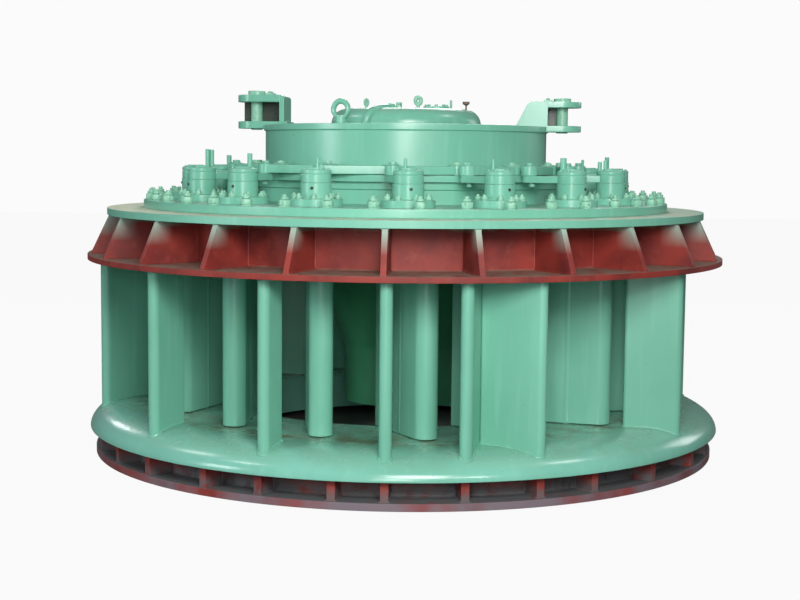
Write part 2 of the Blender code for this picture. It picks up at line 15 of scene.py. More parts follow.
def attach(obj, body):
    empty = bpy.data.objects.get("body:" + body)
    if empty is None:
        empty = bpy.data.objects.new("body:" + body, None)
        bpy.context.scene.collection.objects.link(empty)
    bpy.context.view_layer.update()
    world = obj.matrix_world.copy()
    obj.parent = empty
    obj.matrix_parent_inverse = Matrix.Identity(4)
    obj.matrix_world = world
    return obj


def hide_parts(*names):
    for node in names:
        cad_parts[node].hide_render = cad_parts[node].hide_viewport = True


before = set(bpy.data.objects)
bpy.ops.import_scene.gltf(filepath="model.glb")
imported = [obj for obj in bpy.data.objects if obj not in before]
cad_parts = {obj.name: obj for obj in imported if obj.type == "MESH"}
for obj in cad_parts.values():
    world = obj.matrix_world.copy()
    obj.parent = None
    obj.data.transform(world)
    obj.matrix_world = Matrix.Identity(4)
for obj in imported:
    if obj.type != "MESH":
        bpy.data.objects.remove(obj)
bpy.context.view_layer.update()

# %% [markdown]
# The camera stands 10.4 m from the axis, a little above the control ring, and looks slightly down. Its
# lens is a moderate telephoto, so the round flanges look like flat ellipses. A camera could also be
# aimed with a constraint, but a fixed matrix keeps the small lean that the photograph has.

# %% Camera
CAMERA_PLACE = Vector((-0.0309, -10.441, 2.0169))
CAMERA_PITCH = math.radians(5.534)
CAMERA_LEAN = math.radians(0.539)
CAMERA_LENS = 66.97

camera_data = bpy.data.cameras.new("photo_camera")
camera_data.lens = CAMERA_LENS
camera_data.sensor_width = 36.0
camera = bpy.data.objects.new("photo_camera", camera_data)
bpy.context.scene.collection.objects.link(camera)
camera.matrix_world = (
    Matrix.Translation(CAMERA_PLACE)
    @ Matrix.Rotation(math.pi / 2 - CAMERA_PITCH, 4, "X")
    @ Matrix.Rotation(CAMERA_LEAN, 4, "Z")
)
bpy.context.scene.camera = camera
print("camera at", tuple(round(value, 2) for value in CAMERA_PLACE))

# %% [markdown]
# Three small helpers come first. One leaves Blender in a known state before a piece is made, one reads a
# colour, and one adds a node to the world or to a material and links it.

# %% First helpers
def begin():
    """Object mode with nothing selected, which is how every piece starts."""
    if bpy.context.object and bpy.context.object.mode != "OBJECT":
        bpy.ops.object.mode_set(mode="OBJECT")
    bpy.ops.object.select_all(action="DESELECT")


def linear(colour):
    """An sRGB hex colour as linear RGBA."""
    parts = [int(colour[i : i + 2], 16) / 255 for i in (0, 2, 4)]
    parts = [part / 12.92 if part <= 0.04045 else ((part + 0.055) / 1.055) ** 2.4 for part in parts]
    return (*parts, 1.0)


def add(tree, kind, inputs=None, **settings):
    """Adds a node with its settings. Inputs are numbers, colours or sockets to link from."""
    made = tree.nodes.new(kind)
    for name, value in settings.items():
        setattr(made, name, value)
    for name, value in (inputs or {}).items():
        if isinstance(value, bpy.types.NodeSocket):
            tree.links.new(value, made.inputs[name])
        else:
            made.inputs[name].default_value = value
    return made


print("white is", linear("ffffff"))

# %% [markdown]
# Paint shows its form through its highlights. In the photograph the light comes from the front and not
# from very high, so walls grow darker towards the sides and the inside stays dark. One soft lamp hangs in
# front, near enough that the inside stays dim, with a weaker one farther off. Broad ones light the left
# side and the back. Five small lamps hang where the hall's windows were: each draws a short white streak
# on the glossy lip or on the drum. The world gives little light, though the camera sees it pale.

# %% Light
WORLD_LIGHT = 0.13


def soft_lamp(name, place, size, power, colour):
    """A square area lamp that points at the middle of the turbine."""
    lamp = bpy.data.lights.new(name, "AREA")
    lamp.size = size
    lamp.energy = power
    lamp.color = linear(colour)[:3]
    made = bpy.data.objects.new(name, lamp)
    bpy.context.scene.collection.objects.link(made)
    made.location = place
    made.rotation_euler = (Vector((0.0, 0.0, 1.0)) - Vector(place)).to_track_quat("-Z", "Y").to_euler()


world = bpy.data.worlds.new("pale_studio")
bpy.context.scene.world = world
world.use_nodes = True
studio = world.node_tree
glow = studio.nodes["Background"]
glow.inputs["Color"].default_value = linear("f4f6f8")
glow.inputs["Strength"].default_value = WORLD_LIGHT
seen = add(studio, "ShaderNodeBackground", {"Color": linear("fbfbfb")})
rays = add(studio, "ShaderNodeLightPath").outputs["Is Camera Ray"]
mixed = add(studio, "ShaderNodeMixShader", {0: rays, 1: glow.outputs[0], 2: seen.outputs[0]})
studio.links.new(mixed.outputs[0], studio.nodes["World Output"].inputs["Surface"])

soft_lamp("key_front", (0.6, -7.7, 3.95), 2.3, 360.0, "fffdf8")
soft_lamp("front_fill", (-0.5, -12.5, 2.6), 2.4, 260.0, "ffffff")
soft_lamp("window_front_right", (3.9, -9.2, 4.2), 1.3, 110.0, "fffefa")
soft_lamp("window_low_left", (-9.2, -5.2, 3.0), 2.2, 190.0, "f4fbff")
soft_lamp("skylight_behind", (0.5, 9.0, 7.6), 4.0, 520.0, "fbfdff")
soft_lamp("window_behind_right", (8.6, 5.2, 4.0), 2.6, 90.0, "fbfdff")
soft_lamp("window_behind_left", (-6.2, 6.9, 4.1), 0.8, 38.0, "fbfdff")
soft_lamp("window_left", (-7.4, 1.1, 7.6), 0.9, 75.0, "fbfdff")
soft_lamp("window_left_near", (-7.1, -3.2, 8.0), 0.9, 75.0, "fbfdff")
soft_lamp("window_right", (6.1, -0.6, 8.6), 1.0, 90.0, "fbfdff")
bpy.context.scene.view_settings.view_transform = "Standard"
print("studio ready with", len(bpy.data.lights), "lamps")

# %% [markdown]
# Every piece is painted steel, so the paints come first. A paint can be one flat colour, but a real
# brushed or sprayed coat changes slowly over a metre, has runs down its walls, a fine orange peel, plates
# that are not quite flat under it, and dust wherever a face looks up. Most of these are one noise each,
# with its size in millimetres. All patterns read Object coordinates, so they stay on the piece when it
# moves.

# %% Helpers for materials
def start_material(name):
    """A new material, its node tree, its shader, and the Object coordinates."""
    material = bpy.data.materials.new(name)
    material.use_nodes = True
    tree = material.node_tree
    place = add(tree, "ShaderNodeTexCoord").outputs["Object"]
    return material, tree, tree.nodes["Principled BSDF"], place


def reopened(material):
    """What a further coat needs: the tree of a material, the coordinates, its colour and where that goes."""
    tree = material.node_tree
    place = add(tree, "ShaderNodeTexCoord").outputs["Object"]
    base = tree.nodes["Principled BSDF"].inputs["Base Color"]
    return tree, place, base.links[0].from_socket, base


def patches(tree, place, size_mm, low, high, detail=3.0, stretch=(1.0, 1.0, 1.0)):
    """A mask of patches of this size: 0 where the noise is under low, 1 where it is over high."""
    place = add(tree, "ShaderNodeMapping", {"Vector": place, "Scale": stretch}).outputs["Vector"]
    grain = add(tree, "ShaderNodeTexNoise", {"Vector": place, "Scale": 1000.0 / size_mm, "Detail": detail})
    limits = {"Value": grain.outputs["Fac"], "From Min": low, "From Max": high}
    return add(tree, "ShaderNodeMapRange", limits).outputs[0]


def between(tree, place, axis, low, high):
    """A mask that rises from 0 to 1 from low to high on an axis, or falls where low is the higher one."""
    along = add(tree, "ShaderNodeSeparateXYZ", {0: place}).outputs[axis]
    return add(tree, "ShaderNodeMapRange", {"Value": along, "From Min": low, "From Max": high}).outputs[0]


def between_radii(tree, place, low, high):
    """The same for the distance from the turbine's axis."""
    parts = add(tree, "ShaderNodeSeparateXYZ", {0: place}).outputs
    flat = add(tree, "ShaderNodeCombineXYZ", {"X": parts["X"], "Y": parts["Y"]}).outputs[0]
    radius = add(tree, "ShaderNodeVectorMath", {0: flat}, operation="LENGTH").outputs["Value"]
    return add(tree, "ShaderNodeMapRange", {"Value": radius, "From Min": low, "From Max": high}).outputs[0]


def faces_up(tree):
    """A mask of the faces that look up, where dust settles."""
    return between(tree, add(tree, "ShaderNodeNewGeometry").outputs["Normal"], "Z", 0.55, 0.95)


def film(tree, below, colour, strength, *masks):
    """A coat of this strength over the colour below, where all masks are 1. Gives colour and share."""
    share = strength
    for mask in masks:
        share = add(tree, "ShaderNodeMath", {0: share, 1: mask}, operation="MULTIPLY").outputs[0]
    laid = add(tree, "ShaderNodeMix", {0: share, 6: below, 7: linear(colour)}, data_type="RGBA")
    return laid.outputs[2], share


def bumps(tree, shader, place, *layers):
    """Bump from several noises, each with its size and its depth in millimetres, and its detail."""
    normal = None
    for size_mm, depth_mm, detail in layers:
        grain = patches(tree, place, size_mm, 0.0, 1.0, detail)
        inputs = {"Height": grain, "Distance": depth_mm / 1000.0, "Strength": 1.0}
        if normal:
            inputs["Normal"] = normal
        normal = add(tree, "ShaderNodeBump", inputs).outputs["Normal"]
    tree.links.new(normal, shader.inputs["Normal"])


print("material helpers ready")

# %% [markdown]
# The floor is a plain pale plane. Lit like the machine it would throw much light up under the flanges, so
# for every ray but the camera's own it is a mid grey. Under the machine it stays grey for the camera too,
# because there it lies in deep shade.

# %% Pale floor
FLOOR_GREY = "6e6e6c"
FLOOR_PALE = "fafafa"
FLOOR_PALE_SHARE = 0.92
FLOOR_GLOW = 1.07
FLOOR_SHADE_R = 2.03
FLOOR_OPEN_R = 2.13

begin()
bpy.ops.mesh.primitive_plane_add(size=80.0, location=(0.0, 0.0, -0.001))
floor = bpy.context.object
floor.name = "studio_floor"
floor_paint, tree, shader, place = start_material("pale_floor")
shader.inputs["Base Color"].default_value = linear(FLOOR_GREY)
shader.inputs["Roughness"].default_value = 0.9
rays = add(tree, "ShaderNodeLightPath").outputs["Is Camera Ray"]
share = between_radii(tree, place, FLOOR_SHADE_R, FLOOR_OPEN_R)
for factor in (rays, FLOOR_PALE_SHARE):
    share = add(tree, "ShaderNodeMath", {0: share, 1: factor}, operation="MULTIPLY").outputs[0]
pale = add(tree, "ShaderNodeEmission", {"Color": linear(FLOOR_PALE), "Strength": FLOOR_GLOW})
mixed = add(tree, "ShaderNodeMixShader", {0: share, 1: shader.outputs[0], 2: pale.outputs[0]})
tree.links.new(mixed.outputs[0], tree.nodes["Material Output"].inputs["Surface"])
floor.data.materials.append(floor_paint)
print("floor", floor.dimensions.x, "m wide")

# %% [markdown]
# Most of the machine wears a sea-green alkyd enamel, brushed over primer. The eye sees a soft gloss,
# slightly paler runs down the walls, a greyer film of dust on top, and now and then a dark chip. Enamel
# is a plastic film, so it is not metallic, and its roughness is about 0.27 where it is clean. The cone
# deep inside gets a darker, rougher green with less dust: painted shade for the dark inside.

# %% Sea-green enamel
ENAMEL = "78bda7"
ENAMEL_SHADE = "68ad96"
ENAMEL_RUN = "8fceb9"
DUST_FILM = "98a890"
CHIP = "3f5a4c"
# painted shade: a darker green for the cone deep inside
PAINTED_SHADE_INSIDE = "43936a"
PAINTED_SHADE_INSIDE_DARK = "317354"
PAINTED_SHADE_INSIDE_RUN = "4c9a70"


def enamel(name, colour, shade, run, dust, dust_share, roughness):
    """An enamel coat: its colour, two variations of it, and the dust on what looks up."""
    material, tree, shader, place = start_material(name)
    tone, _ = film(tree, linear(colour), shade, 0.6, patches(tree, place, 650.0, 0.35, 0.7))
    tone, _ = film(tree, tone, run, 0.35, patches(tree, place, 60.0, 0.52, 0.8, 2.0, (1.0, 1.0, 0.08)))
    lying = patches(tree, place, 160.0, 0.3, 0.62, 5.0)
    tone, settled = film(tree, tone, dust, dust_share, faces_up(tree), lying)
    tone, _ = film(tree, tone, CHIP, 0.7, patches(tree, place, 30.0, 0.77, 0.79, 2.0))
    tree.links.new(tone, shader.inputs["Base Color"])
    dull = {"Value": settled, "To Min": roughness, "To Max": roughness + 0.45}
    tree.links.new(add(tree, "ShaderNodeMapRange", dull).outputs[0], shader.inputs["Roughness"])
    bumps(tree, shader, place, (260.0, 1.6, 2.0), (9.0, 0.12, 2.0))
    return material


green = enamel("sea_green_enamel", ENAMEL, ENAMEL_SHADE, ENAMEL_RUN, DUST_FILM, 0.35, 0.27)
painted_shade_green = enamel("painted_shade_green_enamel", PAINTED_SHADE_INSIDE, PAINTED_SHADE_INSIDE_DARK, PAINTED_SHADE_INSIDE_RUN, DUST_FILM, 0.2, 0.4)
print("made", green.name, "and", painted_shade_green.name)

# %% [markdown]
# The lip at the bottom has a glossier coat, a little bluer than the rest. It is swept, so its dust is
# thin, but an olive-brown band of dirt stays where it meets the flat bottom ring. A second material with
# its own dust is simpler than one that knows every height of the machine.

# %% Glossy enamel of the lip and the bottom ring
LIP_COLOUR = "7cc0ae"
LIP_SHADE = "6cad99"
LIP_RUN = "8eccbb"
FLOOR_DUST = "8b9a80"
JOINT_DIRT = "6a6a50"
JOINT_R = 1.785

lip_green = enamel("dusty_sea_green_enamel", LIP_COLOUR, LIP_SHADE, LIP_RUN, FLOOR_DUST, 0.22, 0.20)
tree, place, below, base_colour = reopened(lip_green)
inside = between_radii(tree, place, JOINT_R + 0.10, JOINT_R + 0.01)
outside = between_radii(tree, place, JOINT_R - 0.45, JOINT_R - 0.10)
smears = patches(tree, place, 120.0, 0.36, 0.6, 5.0)
tone, _ = film(tree, below, JOINT_DIRT, 0.75, inside, outside, smears, faces_up(tree))
tree.links.new(tone, base_colour)
print("made", lip_green.name)

# %% [markdown]
# The upper flange keeps a ledge that nobody wipes. Its top is covered with beige hall dust, while its rim
# and the rest stay green, so the dust share is high and the enamel below it is the same. At the left a
# paler cream is painted over the top faces in patches: a painted sheen, where light falls on the ledge.

# %% Dusty ledge of the upper flange
LEDGE_DUST = "b8b298"
LEDGE_PAINTED_SHEEN = "d3d9be"

ledge_dust_and_sheen = enamel("dust_covered_enamel_with_painted_sheen", ENAMEL, ENAMEL_SHADE, ENAMEL_RUN, LEDGE_DUST, 0.85, 0.36)
tree, place, below, base_colour = reopened(ledge_dust_and_sheen)
# painted sheen: a paler cream on the top faces at the left of the ledge
sheen_leftwards = between(tree, place, "X", -1.20, -1.75)
thick = patches(tree, place, 90.0, 0.2, 0.5, 5.0)
tone, _ = film(tree, below, LEDGE_PAINTED_SHEEN, 0.9, sheen_leftwards, faces_up(tree), thick)
tree.links.new(tone, base_colour)
print("made", ledge_dust_and_sheen.name)

# %% [markdown]
# The ribbed rings wear red-oxide primer only: a matt alkyd full of iron oxide, brownish red and darker in
# thick coats. Green spray has drifted onto the heads of the upper ribs, most of all on their outer ends,
# where the gun passed along the flange. Grey dust lies on every ledge. On the foundation ring it is
# bluer and thicker and lies in the corners and on the rim. The wall in the pockets between the ribs is
# painted dark in patches: painted shade, where it lies in the shade of the lip and the ribs.

# %% Red-oxide primer
PRIMER = "8e3129"
PRIMER_DARK = "6e2422"
PRIMER_WORN = "96483c"
OVERSPRAY = "7fb795"
OVERSPRAY_FAN = "9dbcb0"
LEDGE_GREY = "84796b"
BASE_GREY = "5d6265"
BASE_PAINTED_SHADE = "33292d"
RIM_DUST = "77707a"


def red_oxide(name, dust, dust_share, spray_from, spray_to):
    """Primer with dust on its ledges and green overspray between two heights."""
    material, tree, shader, place = start_material(name)
    tone, _ = film(tree, linear(PRIMER), PRIMER_DARK, 1.0, patches(tree, place, 240.0, 0.4, 0.66, 4.0))
    tone, _ = film(tree, tone, PRIMER_WORN, 0.5, patches(tree, place, 70.0, 0.56, 0.75, 5.0))
    drift = between(tree, place, "Z", spray_from, spray_to)
    tone, _ = film(tree, tone, OVERSPRAY, 0.85, drift, patches(tree, place, 110.0, 0.34, 0.6))
    tone, _ = film(tree, tone, dust, dust_share, faces_up(tree), patches(tree, place, 90.0, 0.25, 0.55, 6.0))
    tree.links.new(tone, shader.inputs["Base Color"])
    shader.inputs["Roughness"].default_value = 0.62
    bumps(tree, shader, place, (220.0, 1.5, 2.0), (6.0, 0.15, 3.0))
    return material


upper_red = red_oxide("red_oxide_primer_upper", LEDGE_GREY, 0.8, 1.57, 1.62)

rib_red = red_oxide("red_oxide_primer_ribs", LEDGE_GREY, 0.8, 1.57, 1.61)
tree, place, below, base_colour = reopened(rib_red)
upwards = between(tree, place, "Z", 1.46, 1.61)
outwards = between_radii(tree, place, 1.93, 2.05)
tone, _ = film(tree, below, OVERSPRAY_FAN, 0.95, upwards, outwards)
tree.links.new(tone, base_colour)

base_red = red_oxide("red_oxide_primer_base", BASE_GREY, 1.0, 0.40, 0.50)
tree, place, below, base_colour = reopened(base_red)
# painted shade: the wall between the ribs is darkened in patches
wall = between_radii(tree, place, 1.992, 1.968)
tone, _ = film(tree, below, BASE_PAINTED_SHADE, 0.9, wall, patches(tree, place, 420.0, 0.36, 0.54))
corners = between(tree, place, "Z", 0.135, 0.075)
inside = between_radii(tree, place, 2.132, 2.112)
tone, _ = film(tree, tone, BASE_GREY, 0.85, corners, inside, patches(tree, place, 70.0, 0.3, 0.5, 5.0))
rim = between_radii(tree, place, 2.118, 2.130)
tone, _ = film(tree, tone, RIM_DUST, 0.9, rim, patches(tree, place, 380.0, 0.34, 0.56, 5.0))
tree.links.new(tone, base_colour)
print("made", upper_red.name, rib_red.name, "and", base_red.name)

# %% [markdown]
# Pins, studs and nuts were painted over with everything else, but hands, spanners and grease have worn
# and darkened them. Their enamel is paler and rougher, with dark grease in small patches. One small cup
# was never painted: it is bare steel with a skin of brown rust. Old grease with dust in it covers the
# drain plugs. The same dark material on the inner faces of the plates behind the lug pins is painted shade.

# %% Worn enamel, rusty steel and old grease, which also serves as painted shade
FASTENER = "83bfa6"
FASTENER_PALE = "93cab2"
# also the colour of the painted shade on the inner faces of the lugs' back webs
GREASE_AND_PAINTED_SHADE = "2d3b34"
GREASE_DUST = "4c5a4e"
STEEL = "8f8a80"
RUST = "6b4a36"


def coated(name, base, coats, roughness, grain, metallic=0.0):
    """A base colour under coats in patches, with its roughness and one bump."""
    material, tree, shader, place = start_material(name)
    tone = linear(base)
    for colour, strength, *patch in coats:
        tone, _ = film(tree, tone, colour, strength, patches(tree, place, *patch))
    tree.links.new(tone, shader.inputs["Base Color"])
    shader.inputs["Roughness"].default_value = roughness
    shader.inputs["Metallic"].default_value = metallic
    bumps(tree, shader, place, grain)
    return material


worn = ((FASTENER_PALE, 1.0, 35.0, 0.4, 0.65), (GREASE_AND_PAINTED_SHADE, 0.55, 22.0, 0.6, 0.72))
fastener_paint = coated("worn_enamel_on_steel", FASTENER, worn, 0.42, (8.0, 0.3, 3.0))
rusty = coated("rusty_steel", STEEL, ((RUST, 1.0, 12.0, 0.35, 0.6, 5.0),), 0.55, (3.0, 0.2, 3.0), 0.4)
grease_and_painted_shade = coated("old_grease_and_painted_shade", GREASE_AND_PAINTED_SHADE, ((GREASE_DUST, 0.5, 6.0, 0.45, 0.6, 4.0),), 0.38, (4.0, 0.4, 3.0))
print("made", fastener_paint.name, rusty.name, "and", grease_and_painted_shade.name)

# %% [markdown]
# Almost everything here is turned, or cut from plate and welded. So a few helpers cover the modelling:
# an outline spun round the axis, an outline raised into a plate, a rod, a weld bead along a line, and
# copies round the axis. An azimuth is counted in degrees from the side that the photograph shows, -Y,
# towards +X. Every shape keeps its place in its mesh, with its object at the origin.

# %% Helpers for shapes
ROUND = 192


def at(x=0.0, y=0.0, z=0.0):
    """The matrix of a move to this place."""
    return Matrix.Translation((x, y, z))


def spun(degrees, axis="Z"):
    """The matrix of a turn about an axis."""
    return Matrix.Rotation(math.radians(degrees), 4, axis)


def station(azimuth, radius=0.0):
    """The matrix that takes +X to the outward direction at this azimuth, and the origin to this radius."""
    return spun(azimuth - 90.0) @ at(radius)


def activate(piece):
    begin()
    piece.select_set(True)
    bpy.context.view_layer.objects.active = piece


def placed(piece, matrix):
    """Moves a shape and keeps its new place in its mesh."""
    activate(piece)
    piece.matrix_world = matrix
    bpy.ops.object.transform_apply(location=True, rotation=True, scale=True)
    return piece


def soften(piece, width, segments=2):
    """Rounds the edges that are sharper than 40 degrees."""
    activate(piece)
    step = piece.modifiers.new("softened_edges", "BEVEL")
    step.width = width
    step.segments = segments
    step.limit_method = "ANGLE"
    step.angle_limit = math.radians(40.0)
    bpy.ops.object.modifier_apply(modifier=step.name)
    return piece


def drawn(name, outline, filled):
    """A closed outline of points, as the mesh of a circle whose corners are moved to them."""
    begin()
    bpy.ops.mesh.primitive_circle_add(vertices=len(outline), fill_type="NGON" if filled else "NOTHING")
    piece = bpy.context.object
    piece.name = piece.data.name = name
    for corner, place in zip(piece.data.vertices, outline):
        corner.co = place
    bpy.ops.object.mode_set(mode="EDIT")
    bpy.ops.mesh.select_mode(type="VERT")
    bpy.ops.mesh.select_all(action="SELECT")
    return piece


def closed_up(piece):
    """Merges doubles, drops loose edges and turns the faces outwards."""
    bpy.ops.mesh.select_all(action="SELECT")
    bpy.ops.mesh.remove_doubles(threshold=1e-5)
    bpy.ops.mesh.delete_loose(use_verts=True, use_edges=True, use_faces=False)
    bpy.ops.mesh.select_all(action="SELECT")
    bpy.ops.mesh.normals_make_consistent(inside=False)
    bpy.ops.object.mode_set(mode="OBJECT")
    return piece


def turned(name, outline, steps=ROUND, edge=0.0):
    """A ring: an outline of (radius, height) spun round the axis. Its sharp corners are rounded by edge."""
    piece = drawn(name, [(radius, 0.0, height) for radius, height in outline], False)
    if edge:
        bpy.ops.mesh.select_all(action="DESELECT")
        bpy.ops.object.mode_set(mode="OBJECT")
        for i, corner in enumerate(outline):
            before = Vector(corner) - Vector(outline[i - 1])
            after = Vector(outline[(i + 1) % len(outline)]) - Vector(corner)
            piece.data.vertices[i].select = before.angle(after) > 0.5 and corner[0] > edge
        bpy.ops.object.mode_set(mode="EDIT")
        bpy.ops.mesh.bevel(offset=edge, segments=2, affect="VERTICES")
        bpy.ops.mesh.select_all(action="SELECT")
    bpy.ops.mesh.spin(steps=steps, angle=math.tau, center=(0, 0, 0), axis=(0, 0, 1))
    return closed_up(piece)


def plate(name, outline, bottom, top, edge=0.0):
    """A plate: an outline of (x, y) raised from one height to another."""
    piece = drawn(name, [(x, y, bottom) for x, y in outline], True)
    bpy.ops.mesh.extrude_region_move(TRANSFORM_OT_translate={"value": (0.0, 0.0, top - bottom)})
    closed_up(piece)
    return soften(piece, edge) if edge else piece


def upright(name, outline, width, edge=0.0, aside=0.0):
    """A radial plate on +X: an outline of (radius, height), as thick as width, moved aside along +Y."""
    return placed(plate(name, outline, -width / 2, width / 2, edge), at(0.0, aside) @ spun(90.0, "X"))


def rod(name, radius, bottom, top, edge=0.002, sides=20):
    """A short round bar on the origin. With 6 sides it is the hexagon of a bolt or nut."""
    begin()
    middle = (0.0, 0.0, (bottom + top) / 2)
    bpy.ops.mesh.primitive_cylinder_add(vertices=sides, radius=radius, depth=top - bottom, location=middle)
    piece = bpy.context.object
    piece.name = piece.data.name = name
    placed(piece, piece.matrix_world.copy())
    return soften(piece, edge, 1 if sides < 16 else 2)


def arc(centre, radius, start, end, steps):
    """Points of an arc, both ends included, from one angle in degrees to another."""
    angles = [math.radians(start + (end - start) * i / steps) for i in range(steps + 1)]
    return [(centre[0] + radius * math.cos(a), centre[1] + radius * math.sin(a)) for a in angles]


def capsule(start, end, first_r, last_r, steps):
    """An outline round two circles, joined by straight sides."""
    reach = math.hypot(end[0] - start[0], end[1] - start[1])
    along = math.degrees(math.atan2(end[1] - start[1], end[0] - start[0]))
    lean = math.degrees(math.acos((first_r - last_r) / reach))
    first = arc(start, first_r, along + lean, along + 360.0 - lean, steps)
    return first + arc(end, last_r, along - lean, along + lean, steps)


def tube(name, line, radius, swell, closed=False, resolution=1):
    """A round tube along a line of points, where swell times the radius is its thickness at each point."""
    begin()
    curve = bpy.data.curves.new(name, "CURVE")
    curve.dimensions = "3D"
    curve.bevel_depth = radius
    curve.bevel_resolution = resolution
    curve.use_fill_caps = not closed
    path = curve.splines.new("POLY")
    path.points.add(len(line) - 1)
    for point, place, share in zip(path.points, line, swell):
        point.co = (*place, 1.0)
        point.radius = share
    path.use_cyclic_u = closed
    piece = bpy.data.objects.new(name, curve)
    bpy.context.scene.collection.objects.link(piece)
    activate(piece)
    bpy.ops.object.convert(target="MESH")
    return bpy.context.object


def bead(name, line, radius, closed=False, seed=1):
    """A weld bead: a tube that gets a little thicker and thinner as it goes."""
    dice = random.Random(seed)
    return tube(name, line, radius, [dice.uniform(0.75, 1.3) for _ in line], closed)


def straight(start, end, spacing=0.02):
    """Points along a straight line, for a bead."""
    start, end = Vector(start), Vector(end)
    count = max(2, round((end - start).length / spacing))
    return [start.lerp(end, i / count) for i in range(count + 1)]


def copied(piece, matrix):
    another = piece.copy()
    another.data = piece.data.copy()
    bpy.context.scene.collection.objects.link(another)
    return placed(another, matrix)


def joined(name, pieces):
    begin()
    for piece in pieces:
        piece.select_set(True)
    bpy.context.view_layer.objects.active = pieces[0]
    bpy.ops.object.join()
    pieces[0].name = pieces[0].data.name = name
    return pieces[0]


def around(name, piece, places):
    """Copies of one shape at several places, joined. The first shape is used up."""
    copies = [copied(piece, place) for place in places]
    bpy.data.objects.remove(piece)
    return joined(name, copies)


def stack(name, *rods):
    """Several rods in one shape, each given as rod takes it."""
    return joined(name, [rod(*each) for each in rods])


def finish(piece, material, body, *nodes, slot="green_paint", angle=35.0):
    """Paints a piece, shades it and tells the frame what it rides on and what it replaces."""
    piece.data.materials.clear()
    piece.data.materials.append(material)
    activate(piece)
    bpy.ops.object.shade_smooth_by_angle(angle=math.radians(angle))
    step = piece.modifiers.new("flat_faces_stay_flat", "WEIGHTED_NORMAL")
    step.keep_sharp = True
    bpy.ops.object.modifier_apply(modifier=step.name)
    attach(piece, body)
    if nodes:
        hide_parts(*nodes)
    print(piece.name, "has", len(piece.data.polygons), "faces")
    return piece


print("shape helpers ready")

# %% [markdown]
# The foundation ring carries the machine. It is a flat base plate with a ring wall on it, and 29 short
# radial ribs that keep the wall upright. The ring could be a cylinder with a Boolean cut, but spinning
# its outline gives clean faces, and its welds can be drawn as small chamfers in the same outline.

# %% Foundation ring
BASE_OUTLINE = (
    (1.800, 0.0), (2.135, 0.0), (2.135, 0.046), (1.970, 0.046), (1.960, 0.056), (1.960, 0.1737),
    (1.920, 0.1737), (1.920, 0.056), (1.910, 0.046), (1.800, 0.046),
)
BASE_RIB = ((1.955, 0.044), (2.115, 0.044), (2.115, 0.1737), (1.955, 0.1737))
BASE_RIB_WELDS = (((1.965, 0.048), (2.113, 0.048)), ((1.962, 0.050), (1.962, 0.168)))
BASE_RIB_WIDTH = 0.050
# Azimuths of the ribs that the photograph shows, which aren't even, and of those behind, which are
BASE_RIBS_SEEN = (-60.0, -48.4, -34.4, -23.7, -11.4, -3.0, 9.6, 22.1, 32.4, 46.5, 61.7)
BASE_RIBS_HIDDEN = tuple(73.5 + 12.6 * i for i in range(18))
BEAD_R = 0.006


def ribs(name, outline, width, welds, azimuths, material):
    """Radial ribs: one with its weld beads on both sides, copied to all azimuths and painted."""
    parts = [upright("rib", outline, width, 0.003)]
    for edge_y in (-width / 2 - 0.001, width / 2 + 0.001):
        for (start_r, start_z), (end_r, end_z) in welds:
            line = straight((start_r, edge_y, start_z), (end_r, edge_y, end_z))
            parts.append(bead("rib_bead", line, BEAD_R))
    shape = around(name, joined(name + "_first", parts), [station(azimuth) for azimuth in azimuths])
    finish(shape, material, "housing", slot="red_oxide_primer")


base = turned("base_ring", BASE_OUTLINE, edge=0.003)
finish(base, base_red, "housing", "foundation_ring", slot="red_oxide_primer")
ribs("base_ribs", BASE_RIB, BASE_RIB_WIDTH, BASE_RIB_WELDS, BASE_RIBS_SEEN + BASE_RIBS_HIDDEN, base_red)

# %% [markdown]
# The stay ring starts as a thick rounded lip, which leads the water in. Its section is a quarter of an
# ellipse. A torus could be squashed into this, but the spun outline has the exact section, and the
# chamfer of its lower rim comes with it.

# %% Rounded lip of the stay ring
LIP_R = 2.173
LIP_BOTTOM = 0.174
LIP_TOP = 0.326
LIP_CROWN_R = 1.900
LIP_BORE_R = 1.785


def lip_height(radius):
    """Height of the lip's surface at a distance from the axis."""
    if radius <= LIP_CROWN_R:
        return LIP_TOP
    share = min(1.0, (radius - LIP_CROWN_R) / (LIP_R - LIP_CROWN_R))
    return LIP_BOTTOM + (LIP_TOP - LIP_BOTTOM) * math.sqrt(1.0 - share * share)


lip_curve = []
for i in range(25):
    angle = math.pi / 2 * i / 24
    reach = LIP_CROWN_R + (LIP_R - LIP_CROWN_R) * math.cos(angle)
    lip_curve.append((reach, LIP_BOTTOM + (LIP_TOP - LIP_BOTTOM) * math.sin(angle)))
lip = turned("stay_ring_lip", [(LIP_BORE_R, LIP_BOTTOM)] + lip_curve + [(LIP_BORE_R, LIP_TOP)], edge=0.004)
finish(lip, lip_green, "housing", "stay_ring", slot="lip_green_paint")

# %% [markdown]
# Twelve fixed vanes stand on the lip and carry the upper ring. Each is a thick plate with a rounded nose
# outside and a thinner tail inside, welded all round at its foot and head. One shared shape would do if
# they were evenly spaced, but in the photograph they aren't, so a loop draws each from its azimuths.

# %% Fixed vanes and their welds
VANE_FOOT = 0.204
VANE_TOP = 1.3087
VANE_NOSE_R = 2.100
VANE_WIDTH = 0.076
VANE_TAIL_WIDTH = 0.040
VANE_BEAD_R = 0.008
VANE_BEAD_STEP = 0.018
